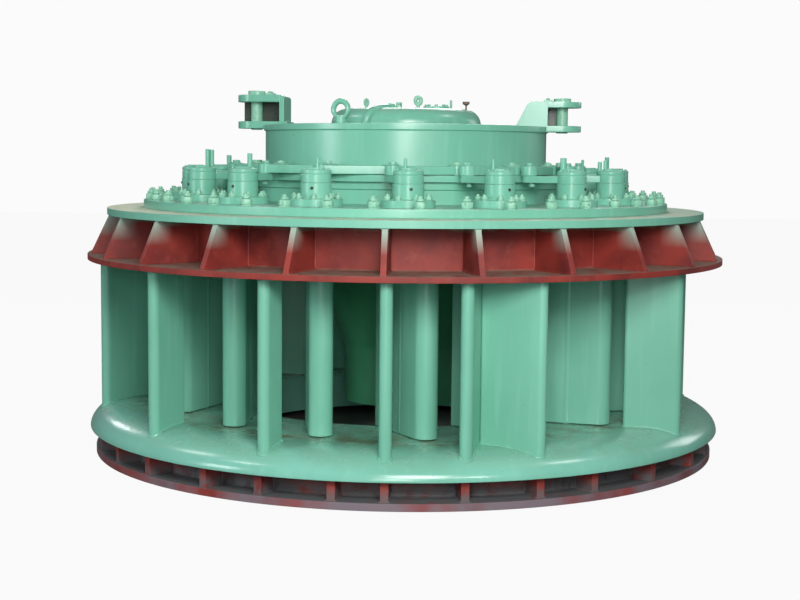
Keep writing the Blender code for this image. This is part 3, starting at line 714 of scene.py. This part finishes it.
# azimuth of the nose, azimuth of the tail, radius of the tail
FIXED_VANES = (
    (-82.0, -89.0, 1.792),
    (-48.2, -51.0, 1.792),
    (-23.3, -23.2, 1.870),
    (-3.0, -3.4, 1.850),
    (9.9, 13.6, 1.800),
    (22.4, 14.9, 1.800),
    (55.9, 50.8, 1.792),
    (101.5, 95.5, 1.792),
    (137.0, 130.5, 1.792),
    (171.0, 164.5, 1.792),
    (204.0, 197.5, 1.792),
    (241.0, 234.5, 1.792),
)


def outward(azimuth):
    turn = math.radians(azimuth)
    return Vector((math.sin(turn), -math.cos(turn)))


def evenly(outline, spacing):
    """Points along a closed outline, about this far apart."""
    points = []
    for i, corner in enumerate(outline):
        start = Vector(outline[i - 1])
        count = max(1, round((Vector(corner) - start).length / spacing))
        points += [start.lerp(Vector(corner), k / count) for k in range(count)]
    return points


fixed_vanes = []
vane_beads = []
for number, (nose_azimuth, tail_azimuth, tail_r) in enumerate(FIXED_VANES):
    nose = outward(nose_azimuth) * (VANE_NOSE_R - VANE_WIDTH / 2)
    tail = outward(tail_azimuth) * (tail_r + VANE_TAIL_WIDTH / 2)
    outline = capsule(nose, tail, VANE_WIDTH / 2, VANE_TAIL_WIDTH / 2, 12)
    fixed_vanes.append(plate(f"fixed_vane_{number + 1:02d}", outline, VANE_FOOT, VANE_TOP))
    foot = [(x, y, lip_height(math.hypot(x, y)) + 0.001) for x, y in evenly(outline, VANE_BEAD_STEP)]
    head = [(x, y, VANE_TOP - 0.002) for x, y in evenly(outline, VANE_BEAD_STEP)]
    vane_beads.append(bead("foot_bead", foot, VANE_BEAD_R, True, number))
    vane_beads.append(bead("head_bead", head, VANE_BEAD_R, True, 50 + number))
for vane in fixed_vanes:
    finish(vane, green, "housing")
finish(joined("fixed_vane_welds", vane_beads), green, "housing")

# %% [markdown]
# Inside the lip lies the flat bottom ring, with the rounded throat that the water leaves through. It is
# spun as well, with a fine arc at the throat, because that curve guides the water and has to be smooth.

# %% Bottom ring and throat
BOTTOM_OUTLINE = (
    [(1.7847, 0.326), (1.7847, 0.262), (1.240, 0.262), (1.215, 0.060), (1.180, 0.060)]
    + arc((1.220, 0.286), 0.040, 180, 90, 10)
)
bottom = turned("bottom_ring_plate", BOTTOM_OUTLINE, edge=0.002)
finish(bottom, lip_green, "housing", "bottom_ring", "throat_ring", slot="lip_green_paint")

# %% [markdown]
# On top of the fixed vanes sits the upper ring in red primer: a plate, a wall set well inside, and 24
# ribs that slant in towards the flange above. As on the foundation, plate and wall are one outline. The
# ribs are modelled once with their six weld beads and copied round.

# %% Upper ring and its ribs
UPPER_OUTLINE = (
    (1.722, 1.309), (2.183, 1.309), (2.183, 1.345), (1.760, 1.345), (1.750, 1.355), (1.750, 1.6077),
    (1.722, 1.6077),
)
UPPER_RIB = ((1.745, 1.343), (2.155, 1.343), (2.155, 1.357), (2.036, 1.6077), (1.745, 1.6077))
UPPER_RIB_WELDS = (
    ((1.755, 1.347), (2.150, 1.347)),
    ((1.752, 1.350), (1.752, 1.600)),
    ((1.755, 1.605), (2.034, 1.605)),
)
UPPER_RIB_WIDTH = 0.036
UPPER_RIB_COUNT = 24
UPPER_RIB_FIRST = -3.37
UPPER_RIBS = [UPPER_RIB_FIRST + 360 * i / UPPER_RIB_COUNT for i in range(UPPER_RIB_COUNT)]

upper = turned("upper_ring_plate", UPPER_OUTLINE, edge=0.003)
finish(upper, upper_red, "housing", "upper_ring", slot="red_oxide_primer")
ribs("upper_ribs", UPPER_RIB, UPPER_RIB_WIDTH, UPPER_RIB_WELDS, UPPER_RIBS, rib_red)

# %% [markdown]
# The flange over the ribs is machined: a raised seat under the head cover and a ledge 2 mm lower round
# it. Such a small step is cheap to draw in an outline and shows as a fine line of shadow and dust.

# %% Upper flange
FLANGE_OUTLINE = (
    (1.722, 1.608), (2.050, 1.608), (2.050, 1.653), (1.815, 1.653), (1.815, 1.655), (1.722, 1.655),
)
flange = soften(turned("upper_flange_ring", FLANGE_OUTLINE), 0.0025)
finish(flange, ledge_dust_and_sheen, "housing", "upper_flange")

# %% [markdown]
# The head cover closes the water passage. It has a wide flange, a skirt and a ceiling below, and sixteen
# round housings on top, one round each guide vane's stem. Spun, the cover is one closed shape. The
# housings are spun on the origin, with a foot, a body and a rounded shoulder, and copied to their places.

# %% Head cover
GATE_COUNT = 16
GATE_FIRST = 0.5
GATE_R = 1.465
COVER_TOP = 1.708
GATES = [GATE_FIRST + 360 * i / GATE_COUNT for i in range(GATE_COUNT)]
gate_places = [station(azimuth, GATE_R) for azimuth in GATES]

COVER_OUTLINE = (
    (0.950, 1.6553), (1.655, 1.6553), (1.655, 1.365), (0.960, 1.365), (0.960, 1.325), (1.700, 1.325),
    (1.700, 1.6553), (1.805, 1.6553), (1.805, COVER_TOP), (0.950, COVER_TOP),
)
finish(turned("head_cover_plate", COVER_OUTLINE, edge=0.004), green, "housing", "head_cover")

HOUSING_OUTLINE = (
    (0.062, 1.700), (0.165, 1.700), (0.165, 1.752), (0.104, 1.752), (0.096, 1.760), (0.096, 1.8495),
    (0.062, 1.8495),
)
housing = turned("stem_housing", HOUSING_OUTLINE, 48, 0.003)
finish(around("stem_housings", housing, gate_places), green, "housing")

# %% [markdown]
# Low on the side of each housing sits a small drain plug, dark with old grease. It is a hexagon turned on
# its side, with a collar. A painted mark would vanish in other light, but a plug keeps its shadow.

# %% Drain plugs of the housings
PLUG_HEIGHT = 1.818
PLUG_TURN = 10.0

drain = stack(
    "drain_plug",
    ("hexagon", 0.007, 0.090, 0.103, 0.001, 6),
    ("collar", 0.010, 0.088, 0.098, 0.001, 12),
)
placed(drain, spun(PLUG_TURN) @ at(z=PLUG_HEIGHT) @ spun(90.0, "Y"))
finish(around("housing_drain_plugs", drain, gate_places), grease_and_painted_shade, "housing", slot="painted_steel_pin")

# %% [markdown]
# Each foot is held by eight hexagon bolts, and the head cover by forty studs with two nuts each. They are
# many, so a bolt has few faces: a six-sided head with a chamfer on a thin washer. A real thread wouldn't
# show at this distance, so the studs are plain rods.

# %% Bolts of the housings and studs of the cover
FOOT_BOLT_R = 0.134
FOOT_TOP = 1.752
FOOT_BOLTS = (20.0, 65.0, 110.0, 155.0, 200.0, 245.0, 290.0, 335.0)
STUD_COUNT = 40
STUD_FIRST = 2.7
STUD_CIRCLE_R = 1.755

bolt = stack(
    "foot_bolt",
    ("washer", 0.025, FOOT_TOP, FOOT_TOP + 0.004, 0.001, 12),
    ("hexagon", 0.021, FOOT_TOP + 0.004, FOOT_TOP + 0.024, 0.003, 6),
    ("bolt_end", 0.011, FOOT_TOP + 0.022, FOOT_TOP + 0.036, 0.002, 8),
)
bolt_places = [
    gate @ spun(turn) @ at(FOOT_BOLT_R) @ spun(turn * 3) for gate in gate_places for turn in FOOT_BOLTS
]
finish(around("housing_bolts", bolt, bolt_places), fastener_paint, "housing")

stud = stack(
    "cover_stud",
    ("washer", 0.042, COVER_TOP, COVER_TOP + 0.005, 0.001, 16),
    ("lower_nut", 0.040, COVER_TOP + 0.005, COVER_TOP + 0.043, 0.006, 6),
    ("upper_nut", 0.028, COVER_TOP + 0.044, COVER_TOP + 0.060, 0.004, 6),
    ("stud_end", 0.015, COVER_TOP + 0.056, COVER_TOP + 0.076, 0.003, 10),
)
stud_places = [
    station(STUD_FIRST + 360 * i / STUD_COUNT, STUD_CIRCLE_R) @ spun(i * 23.0) for i in range(STUD_COUNT)
]
finish(around("cover_studs", stud, stud_places), fastener_paint, "housing")

# %% [markdown]
# The inner cone guides the water down to the shaft. It is a thick bell hung on the ceiling of the head
# cover. Only a few radii are known, so a smooth line is drawn through them before the outline is spun.

# %% Inner cone
def smooth_line(points, steps=4):
    """A smooth line through points, as Catmull and Rom describe it."""
    ends = [points[0]] + list(points) + [points[-1]]
    line = []
    for four in zip(ends, ends[1:], ends[2:], ends[3:]):
        for t in (i / steps for i in range(steps)):
            place = []
            for p, q, r, s in zip(*four):
                square, cube = 2 * p - 5 * q + 4 * r - s, 3 * q - p - 3 * r + s
                place.append(0.5 * (2 * q + (r - p) * t + square * t**2 + cube * t**3))
            line.append(tuple(place))
    return line + [points[-1]]


CONE_OUTSIDE = (
    (0.415, 0.312), (0.415, 0.654), (0.445, 0.753), (0.498, 0.897), (0.580, 1.050), (0.700, 1.185),
    (0.830, 1.275), (0.954, 1.325),
)
CONE_INSIDE = ((0.800, 1.4013), (0.675, 1.225), (0.465, 0.905), (0.385, 0.660), (0.385, 0.312))
cone_flange = [(0.954, 1.3653), (1.080, 1.3653), (1.080, 1.4013)]
cone = turned("inner_cone_bell", smooth_line(CONE_OUTSIDE) + cone_flange + smooth_line(CONE_INSIDE), 128)
# the darker green on the cone is painted shade
finish(cone, painted_shade_green, "housing", "inner_cone")

# %% [markdown]
# The control ring slides on a seat that is bolted to the head cover. The photograph shows it in the
# shade between the housings: an upright wall with a narrow shelf, under the foot of the ring.

# %% Ring guide
GUIDE_OUTLINE = (
    (1.030, 1.7083), (1.072, 1.7083), (1.072, 1.800), (1.085, 1.806), (1.085, 1.8527), (1.030, 1.8527),
)
finish(turned("ring_guide_seat", GUIDE_OUTLINE, edge=0.003), green, "housing", "ring_guide")

# %% [markdown]
# A domed cover closes the shaft opening. Its shoulder is a clean quarter circle, so it is part of the
# spun outline. At the pole all copies of one point meet, and merging the doubles makes them one.

# %% Dome over the shaft opening
DOME_R = 0.520
DOME_TOP = 2.338
DOME_SHOULDER = 0.105
DOME_WALL = 0.030
shoulder = (DOME_R - DOME_SHOULDER, DOME_TOP - DOME_SHOULDER)
DOME_OUTLINE = (
    [(0.490, 1.7083), (1.020, 1.7083), (1.020, 1.7443), (0.530, 1.7443), (0.520, 1.7543)]
    + arc(shoulder, DOME_SHOULDER, 0, 90, 14)
    + [(0.0, DOME_TOP), (0.0, DOME_TOP - DOME_WALL)]
    + arc(shoulder, DOME_SHOULDER - DOME_WALL, 90, 0, 8)
)
finish(turned("dome_shell", DOME_OUTLINE, 128), green, "housing", "dome_cover")

# %% [markdown]
# Small fittings stand on the dome: two lifting eyes, a bent vent pipe with its flange, a plug, a bolted
# hatch, a post and a rusty grease cup. They are what the photograph shows above the control ring. Each is
# a few shapes joined, and their feet sink a little into the dome. An eye is a torus on its edge, squeezed
# a little, because a forged eye is never a true torus.

# %% Lifting eyes on the dome
def eye_ring(radius, thickness, steps, small_steps, stretch, height=0.0):
    """A torus that stands on its edge and faces -Y, with its middle at this height and stretched there."""
    begin()
    middle = (0.0, 0.0, height)
    bpy.ops.mesh.primitive_torus_add(
        major_segments=steps, minor_segments=small_steps, major_radius=radius, minor_radius=thickness,
        location=middle,
    )
    ring = bpy.context.object
    placed(ring, ring.matrix_world @ spun(90.0, "X"))
    bpy.ops.object.mode_set(mode="EDIT")
    bpy.ops.mesh.select_all(action="SELECT")
    bpy.ops.transform.resize(value=stretch, center_override=middle)
    bpy.ops.object.mode_set(mode="OBJECT")
    return ring


def eye_bolt(name, size):
    """A lifting eye that stands on the origin: shoulder, shank and ring."""
    ring = eye_ring(size * 0.30, size * 0.21, 28, 10, (1.0, 0.85, 1.1), size * 0.82)
    collar = rod("collar", size * 0.30, -0.010, size * 0.16, 0.004, 16)
    shank = rod("shank", size * 0.18, size * 0.10, size * 0.50, 0.002, 12)
    return joined(name, [collar, shank, ring])


left_eye = placed(eye_bolt("dome_eye_left", 0.052), at(-0.275, -0.10, DOME_TOP) @ spun(50.0))
right_eye = placed(eye_bolt("dome_eye_right", 0.066), at(0.081, -0.20, DOME_TOP) @ spun(15.0))
for eye in (left_eye, right_eye):
    finish(eye, fastener_paint, "housing")

# %% [markdown]
# The vent pipe is a tube along a smooth line through seven points. The rest are rods, and the cup is spun.

# %% Vent pipe, hatch and small posts
VENT_PATH = (
    (-0.274, -0.445, 2.205), (-0.270, -0.452, 2.240), (-0.254, -0.446, 2.282), (-0.224, -0.422, 2.313),
    (-0.184, -0.385, 2.330), (-0.145, -0.340, 2.337), (-0.105, -0.290, 2.338),
)
VENT_R = 0.027
HATCH_BOLT_COUNT = 8
HATCH_BOLT_R = 0.070

vent_line = smooth_line(VENT_PATH, 3)
vent = tube("vent_pipe", vent_line, VENT_R, [1.0] * len(vent_line), resolution=5)
collar = placed(rod("vent_collar", 0.038, 0.0, 0.016, 0.003, 24), at(-0.274, -0.445, 2.215))
end_cap = rod("vent_cap", 0.033, -0.020, 0.014, 0.004, 24)
placed(end_cap, at(-0.105, -0.290, 2.340) @ spun(58.0) @ spun(90.0, "Y"))
finish(joined("vent_pipe", [vent, collar, end_cap]), green, "housing")

plug = stack(
    "dome_plug",
    ("plug_body", 0.020, DOME_TOP - 0.006, DOME_TOP + 0.026, 0.003, 20),
    ("plug_head", 0.024, DOME_TOP + 0.026, DOME_TOP + 0.042, 0.004, 6),
)
finish(placed(plug, at(-0.050, -0.200)), fastener_paint, "housing")

hatch_lid = rod("hatch_lid", 0.088, DOME_TOP - 0.004, DOME_TOP + 0.018, 0.004, 48)
hatch_bolt = rod("hatch_bolt", 0.011, DOME_TOP + 0.016, DOME_TOP + 0.030, 0.002, 6)
bolt_places = [spun(360 * i / HATCH_BOLT_COUNT) @ at(HATCH_BOLT_R) for i in range(HATCH_BOLT_COUNT)]
hatch = joined("dome_hatch", [hatch_lid, around("hatch_bolts", hatch_bolt, bolt_places)])
finish(placed(hatch, at(0.205, -0.160)), green, "housing")

post = rod("dome_post", 0.008, DOME_TOP - 0.004, DOME_TOP + 0.062, 0.002, 12)
finish(placed(post, at(0.308, -0.100)), green, "housing")

# radius and height over the dome
CUP_OUTLINE = (
    (0.0, -0.010), (0.006, -0.010), (0.006, 0.026), (0.024, 0.038), (0.024, 0.054), (0.019, 0.054),
    (0.017, 0.042), (0.0, 0.036),
)
cup = turned("grease_cup", [(radius, DOME_TOP + height) for radius, height in CUP_OUTLINE], 20)
finish(placed(cup, at(0.412, -0.100)), rusty, "housing")

# %% [markdown]
# The control ring turns all the guide vanes at once. It is a drum with a foot flange that carries the
# link pins and a wide top flange. The drum is rolled plate, so its outline has straight lines and small
# weld chamfers where the flanges meet it.

# %% Control ring
RING_OUTLINE = (
    (0.935, 1.853), (1.122, 1.853), (1.122, 1.897), (0.9845, 1.897), (0.9745, 1.907), (0.9745, 2.176),
    (0.979, 2.182), (0.986, 2.182), (0.986, 2.222), (0.800, 2.222), (0.800, 2.182), (0.925, 2.182),
    (0.935, 2.172),
)
ring = turned("control_ring_drum", RING_OUTLINE, edge=0.003)
finish(ring, green, "control_ring", "control_ring", "ring_top_flange")

# %% [markdown]
# Two lugs take the rods of the servomotors. Each is a lower and an upper plate with rounded ends, an
# inner wall and a plate on edge at the back, whose inner face is painted dark: painted shade under the
# upper plate. The right one has a web in front as well, which rises past the upper plate in a slope.
# Plates with softened edges and weld beads give the same look as the real weldments.

# %% Lugs
LUG_END_R = 0.130
LUG_ROOT = 0.820
LUG_WALL = 0.034
LUG_WEB = 0.030
LUG_ROUND = 0.032
PIN_HOLE_R = 0.0412
# azimuth, pin, lower plate, upper plate, wall, end of the web, bottom of the pin, top of its head
LEFT_LUG = (-97.0, 1.060, (2.198, 2.248), (2.382, 2.432), 0.840, 1.170, 2.190, 2.462)
RIGHT_LUG = (83.0, 1.080, (2.188, 2.230), (2.353, 2.393), 0.951, 0.985, 2.180, 2.418)
# The right lug's front web rises past the upper plate in a slope with a rounded shoulder
RIGHT_WEB_FOOT = 0.765
RIGHT_WEB_SHOULDER = 0.845
RIGHT_WEB_HEAD = 0.880
RIGHT_BACK_WEB_END = 1.075


def with_hole(piece, radius, x, bottom, top):
    """Cuts a round hole with a cylinder, as a drill would."""
    drill = placed(rod("drill", radius, bottom - 0.05, top + 0.05, 0.0001, 32), at(x))
    activate(piece)
    cut = piece.modifiers.new("hole", "BOOLEAN")
    cut.operation = "DIFFERENCE"
    cut.solver = "EXACT"
    cut.object = drill
    bpy.ops.object.modifier_apply(modifier=cut.name)
    bpy.data.objects.remove(drill)
    return piece


def back_web(name, azimuth, start, end, lower, upper, side):
    """The plate on edge at the back of a lug. Its inner face is painted dark in the grease colour: painted
    shade.
    """
    low, high = lower[1] - 0.01, upper[0] + 0.01
    outline = [(start, low), (end, low), (end, high), (start, high)]
    outer = LUG_END_R - 0.010
    # the thin inner plate in the grease colour is painted shade under the upper plate
    plates = ((name, green, 0.022, outer - 0.011), (name + "_painted_shade_face", grease_and_painted_shade, 0.0075, outer - 0.026))
    for part, paint, thick, aside in plates:
        piece = upright(part, outline, thick, 0.002, side * aside)
        finish(placed(piece, station(azimuth)), paint, "control_ring")


def lug(name, azimuth, pin, lower, upper, wall, root, webs):
    """One lug with its hole and welds. root is where the upper plate starts."""
    end = arc((pin, 0.0), LUG_END_R, -90, 90, 18)
    parts = []
    for part, start, heights in (("lower", LUG_ROOT, lower), ("upper", root, upper)):
        outline = [(start, LUG_END_R), (start, -LUG_END_R)] + end
        parts.append(with_hole(plate(part, outline, *heights, 0.004), PIN_HOLE_R, pin, *heights))
    low, high, outside = lower[1] - 0.01, upper[0] + 0.01, wall + LUG_WALL
    side = [(wall, low), (outside, low), (outside, high)]
    if root > wall:
        side += [(root + 0.002, high), (root + 0.002, upper[1])]
        side += arc((root, upper[1] - LUG_ROUND), LUG_ROUND, 90, 180, 6)[1:]
    else:
        side += [(wall, high)]
    parts.append(upright("inner_wall", side, 2 * LUG_END_R - (0.0 if root > wall else 0.012), 0.003))
    parts += webs
    for height in (lower[1] + 0.001, upper[0] - 0.001):
        line = straight((outside + 0.001, -0.08, height), (outside + 0.001, 0.08, height))
        parts.append(bead("wall_bead", line, 0.005))
    return placed(joined(name, parts), station(azimuth))


azimuth, pin, lower, upper, wall, web_end, _, _ = LEFT_LUG
shape = lug("left_lug_weldment", azimuth, pin, lower, upper, wall, wall + LUG_ROUND, [])
finish(shape, green, "control_ring", "left_lug")
back_web("left_lug_back_web", azimuth, wall + 0.004, web_end, lower, upper, -1)

azimuth, pin, lower, upper, wall, web_end, _, _ = RIGHT_LUG
foot = lower[0] + 0.03
slope = [(RIGHT_WEB_FOOT, foot), (web_end, foot), (web_end, upper[1]), (RIGHT_WEB_HEAD, upper[1])]
slope += [(RIGHT_WEB_SHOULDER + 0.012, upper[1] - 0.008), (RIGHT_WEB_SHOULDER, upper[1] - 0.022)]
front_web = upright("front_web", slope, LUG_WEB, 0.002, -LUG_END_R + LUG_WEB / 2 - 0.004)
shape = lug("right_lug_weldment", azimuth, pin, lower, upper, wall, RIGHT_WEB_HEAD, [front_web])
finish(shape, green, "control_ring", "right_lug")
back_web("right_lug_back_web", azimuth, wall + 0.004, RIGHT_BACK_WEB_END, lower, upper, 1)

# %% [markdown]
# A pin goes through both plates of each lug. Its wide head lies on the upper plate, and a small keeper
# plate with two bolts stops it from turning. The pins are spun on the origin, then moved to the lugs.

# %% Pins of the lugs
PIN_R = 0.040
PIN_HEAD_R = 0.060
KEEPER_X = -0.098
KEEPER_BOLT_Y = 0.038
GAP = 0.0003

for lug_sizes, node in ((LEFT_LUG, "left_lug_pin"), (RIGHT_LUG, "right_lug_pin")):
    azimuth, pin, _, upper, _, _, pin_bottom, head_top = lug_sizes
    seat = upper[1] + GAP
    dimple = head_top - 0.006
    outline = (
        (0.0, pin_bottom), (PIN_R, pin_bottom), (PIN_R, seat), (PIN_HEAD_R, seat),
        (PIN_HEAD_R, head_top), (0.018, head_top), (0.012, dimple), (0.0, dimple),
    )
    shape = turned(node + "_steel", outline, 48, 0.003)
    corners = [(-0.028, -0.060), (0.028, -0.060), (0.028, 0.060), (-0.028, 0.060)]
    keeper = plate("keeper", corners, 0.0, 0.014, 0.002)
    placed(keeper, at(KEEPER_X, 0.0, seat))
    bolt = rod("keeper_bolt", 0.013, seat + 0.012, seat + 0.026, 0.002, 6)
    bolts = around("keeper_bolts", bolt, [at(KEEPER_X, y) for y in (-KEEPER_BOLT_Y, KEEPER_BOLT_Y)])
    place = station(azimuth, pin)
    finish(placed(shape, place), fastener_paint, "control_ring", node, slot="painted_steel_pin")
    finish(placed(joined(node + "_keeper", [keeper, bolts]), place), fastener_paint, "control_ring")

# %% [markdown]
# A lifting eye stands on the control ring, left of the dome. It is a forged ring that narrows to its
# foot, so a torus is stretched, its lower half is drawn in, and a neck and a foot are added.

# %% Lifting eye on the control ring
EYE_PLACE = (-0.425, -0.740, 2.308)
EYE_NARROW_FROM = -0.010
EYE_NARROWING = 5.0

eye = eye_ring(0.052, 0.0165, 40, 14, (1.0, 1.25, 1.12))
for corner in eye.data.vertices:
    if corner.co.z < EYE_NARROW_FROM:
        corner.co.x *= 1.0 - EYE_NARROWING * (EYE_NARROW_FROM - corner.co.z)
neck = rod("eye_neck", 0.034, -0.096, -0.036, 0.004, 20)
foot = rod("eye_foot", 0.042, -0.100, -0.082, 0.004, 24)
eye = placed(joined("ring_lifting_eye", [eye, neck, foot]), at(*EYE_PLACE) @ spun(-22.0))
finish(eye, green, "control_ring")

# %% [markdown]
# The guide vanes turn to let more or less water in. Each is one long casting: a blade with a thick nose
# and a fine tail, a stem that comes up through its housing, and on top the hub with its lever. The blade
# is an outline of two arcs, raised and softened. The hub is spun with its cap and groove.

# %% Guide vane: blade, stem and hub
BLADE_ANGLE = math.radians(35.0)
LEVER_ANGLE = math.radians(199.0)
LEVER_LENGTH = 0.285
nose = (0.196 * math.cos(BLADE_ANGLE), 0.196 * math.sin(BLADE_ANGLE))
tail = (-0.312 * math.cos(BLADE_ANGLE), -0.312 * math.sin(BLADE_ANGLE))
lever_eye = (LEVER_LENGTH * math.cos(LEVER_ANGLE), LEVER_LENGTH * math.sin(LEVER_ANGLE))
STEM_OUTLINE = (
    (0.0, 0.290), (0.040, 0.290), (0.040, 0.342), (0.052, 0.342), (0.052, 1.850), (0.093, 1.850),
    (0.093, 1.898), (0.0905, 1.900), (0.0905, 1.903), (0.093, 1.905), (0.093, 1.922), (0.085, 1.930),
    (0.058, 1.930), (0.055, 1.942), (0.0, 1.942),
)

blade = plate("guide_vane_blade", capsule(nose, tail, 0.074, 0.011, 18), 0.332, 1.319, 0.003)
stem = turned("vane_stem", STEM_OUTLINE, 40, 0.002)
lever = plate("vane_lever", capsule((0.0, 0.0), lever_eye, 0.055, 0.045, 8), 1.853, 1.897, 0.003)
lever_pin = stack(
    "lever_pin",
    ("lever_pin", 0.016, 1.885, 1.972, 0.003, 16),
    ("pin_washer", 0.030, 1.9575, 1.962, 0.001, 20),
    ("pin_nut", 0.024, 1.962, 1.978, 0.003, 6),
)
placed(lever_pin, at(*lever_eye))
under_bolt = rod("under_bolt", 0.021, 1.826, 1.853, 0.004, 12)
placed(under_bolt, at(lever_eye[0] * 0.93, lever_eye[1] * 0.93))
cap_bolt = rod("cap_bolt", 0.009, 1.928, 1.938, 0.002, 6)
cap_bolts = around("cap_bolts", cap_bolt, [station(60 * i + 20, 0.072) for i in range(6)])
vane_shape = joined("vane_shape", [blade, stem, lever, lever_pin, under_bolt, cap_bolts])
print("guide vane has", len(vane_shape.data.polygons), "faces")

# %% [markdown]
# The studs on the hubs aren't all alike: most are thin, some are thick and stand higher, as if left from
# lifting, and one hub has none. So the vane is modelled once, and each copy gets its own studs.

# %% Sixteen guide vanes
STUD_ASIDE = -0.018
# guide vane number, then for each of its studs the step inwards from the axis, the radius and the top
ODD_STUDS = {
    3: ((0.055, 0.020, 2.012),),
    4: ((0.072, 0.014, 1.989), (0.033, 0.014, 1.999)),
    5: ((0.060, 0.015, 2.020),),
    12: ((0.060, 0.018, 2.010),),
    13: (),
    14: ((0.045, 0.014, 2.049), (0.074, 0.015, 2.046)),
    15: ((0.072, 0.016, 2.024),),
}
COMMON_STUD = ((0.060, 0.010, 2.000),)

for number, azimuth in enumerate(GATES, 1):
    vane_parts = [copied(vane_shape, at(GATE_R))]
    for inwards, radius, top in ODD_STUDS.get(number, COMMON_STUD):
        vane_stud = rod("vane_stud", radius, 1.920, top, 0.003, 14)
        vane_parts.append(placed(vane_stud, at(GATE_R - inwards, STUD_ASIDE)))
    node = f"guide_vane_{number:02d}"
    finish(placed(joined(node + "_cast", vane_parts), station(azimuth)), green, node, node)
bpy.data.objects.remove(vane_shape)

# %% [markdown]
# Short links join the levers to the control ring. Each is a flat bar between two round eyes, and the eye
# at the ring end is a thick boss. The bar is an outline of two arcs, and the boss a spun ring round the
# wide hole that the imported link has. The law of cosines gives the place of the pin on the control ring.

# %% Sixteen links
LINK_LENGTH = 0.440
LINK_BOTTOM = 1.8973
LINK_TOP = 1.957
LINK_BAR = (1.9005, 1.9535)
# x, radius of the hole in the eye, radius of the eye, radius of the hole in the bar
LINK_EYES = ((0.0, 0.020, 0.050, 0.0205), (LINK_LENGTH, 0.0395, 0.056, 0.040))
RING_PIN_R = 1.065

bar = plate("link_bar", capsule((0.0, 0.0), (LINK_LENGTH, 0.0), 0.044, 0.048, 14), *LINK_BAR, 0.004)
link_parts = [bar]
for x, hole, outer, bar_hole in LINK_EYES:
    outline = ((hole, LINK_BOTTOM), (outer, LINK_BOTTOM), (outer, LINK_TOP), (hole, LINK_TOP))
    link_parts.append(placed(turned("link_eye", outline, 32, 0.004), at(x)))
    with_hole(bar, bar_hole, x, *LINK_BAR)
link_shape = joined("link_shape", link_parts)

start = Vector((GATE_R + lever_eye[0], lever_eye[1]))
reach = start.length
cosine = (reach**2 + RING_PIN_R**2 - LINK_LENGTH**2) / (2 * reach * RING_PIN_R)
ring_pin_turn = math.atan2(start.y, start.x) + math.acos(cosine)
end = Vector((RING_PIN_R * math.cos(ring_pin_turn), RING_PIN_R * math.sin(ring_pin_turn)))
heading = math.degrees(math.atan2(end.y - start.y, end.x - start.x))
print("ring pins stand", round(math.degrees(ring_pin_turn), 2), "degrees after their vanes")

for number, azimuth in enumerate(GATES, 1):
    whole = copied(link_shape, station(azimuth) @ at(*start) @ spun(heading))
    node = f"link_{number:02d}"
    whole.name = whole.data.name = node + "_bar"
    finish(whole, green, node, node)
bpy.data.objects.remove(link_shape)

# %% [markdown]
# The pins on the control ring carry a wide washer that covers the hole in the link's boss, and a nut.
# They ride on the control ring, so that at every pose they stay where the ring is.

# %% Pins on the control ring
ring_pin = stack(
    "ring_pin",
    ("ring_pin", 0.016, 1.890, 1.980, 0.003, 16),
    ("ring_pin_washer", 0.050, LINK_TOP + 0.001, LINK_TOP + 0.007, 0.002, 32),
    ("ring_pin_nut", 0.026, LINK_TOP + 0.007, LINK_TOP + 0.020, 0.003, 6),
)
pin_places = [station(azimuth + math.degrees(ring_pin_turn), RING_PIN_R) for azimuth in GATES]
finish(around("control_ring_pins", ring_pin, pin_places), fastener_paint, "control_ring")
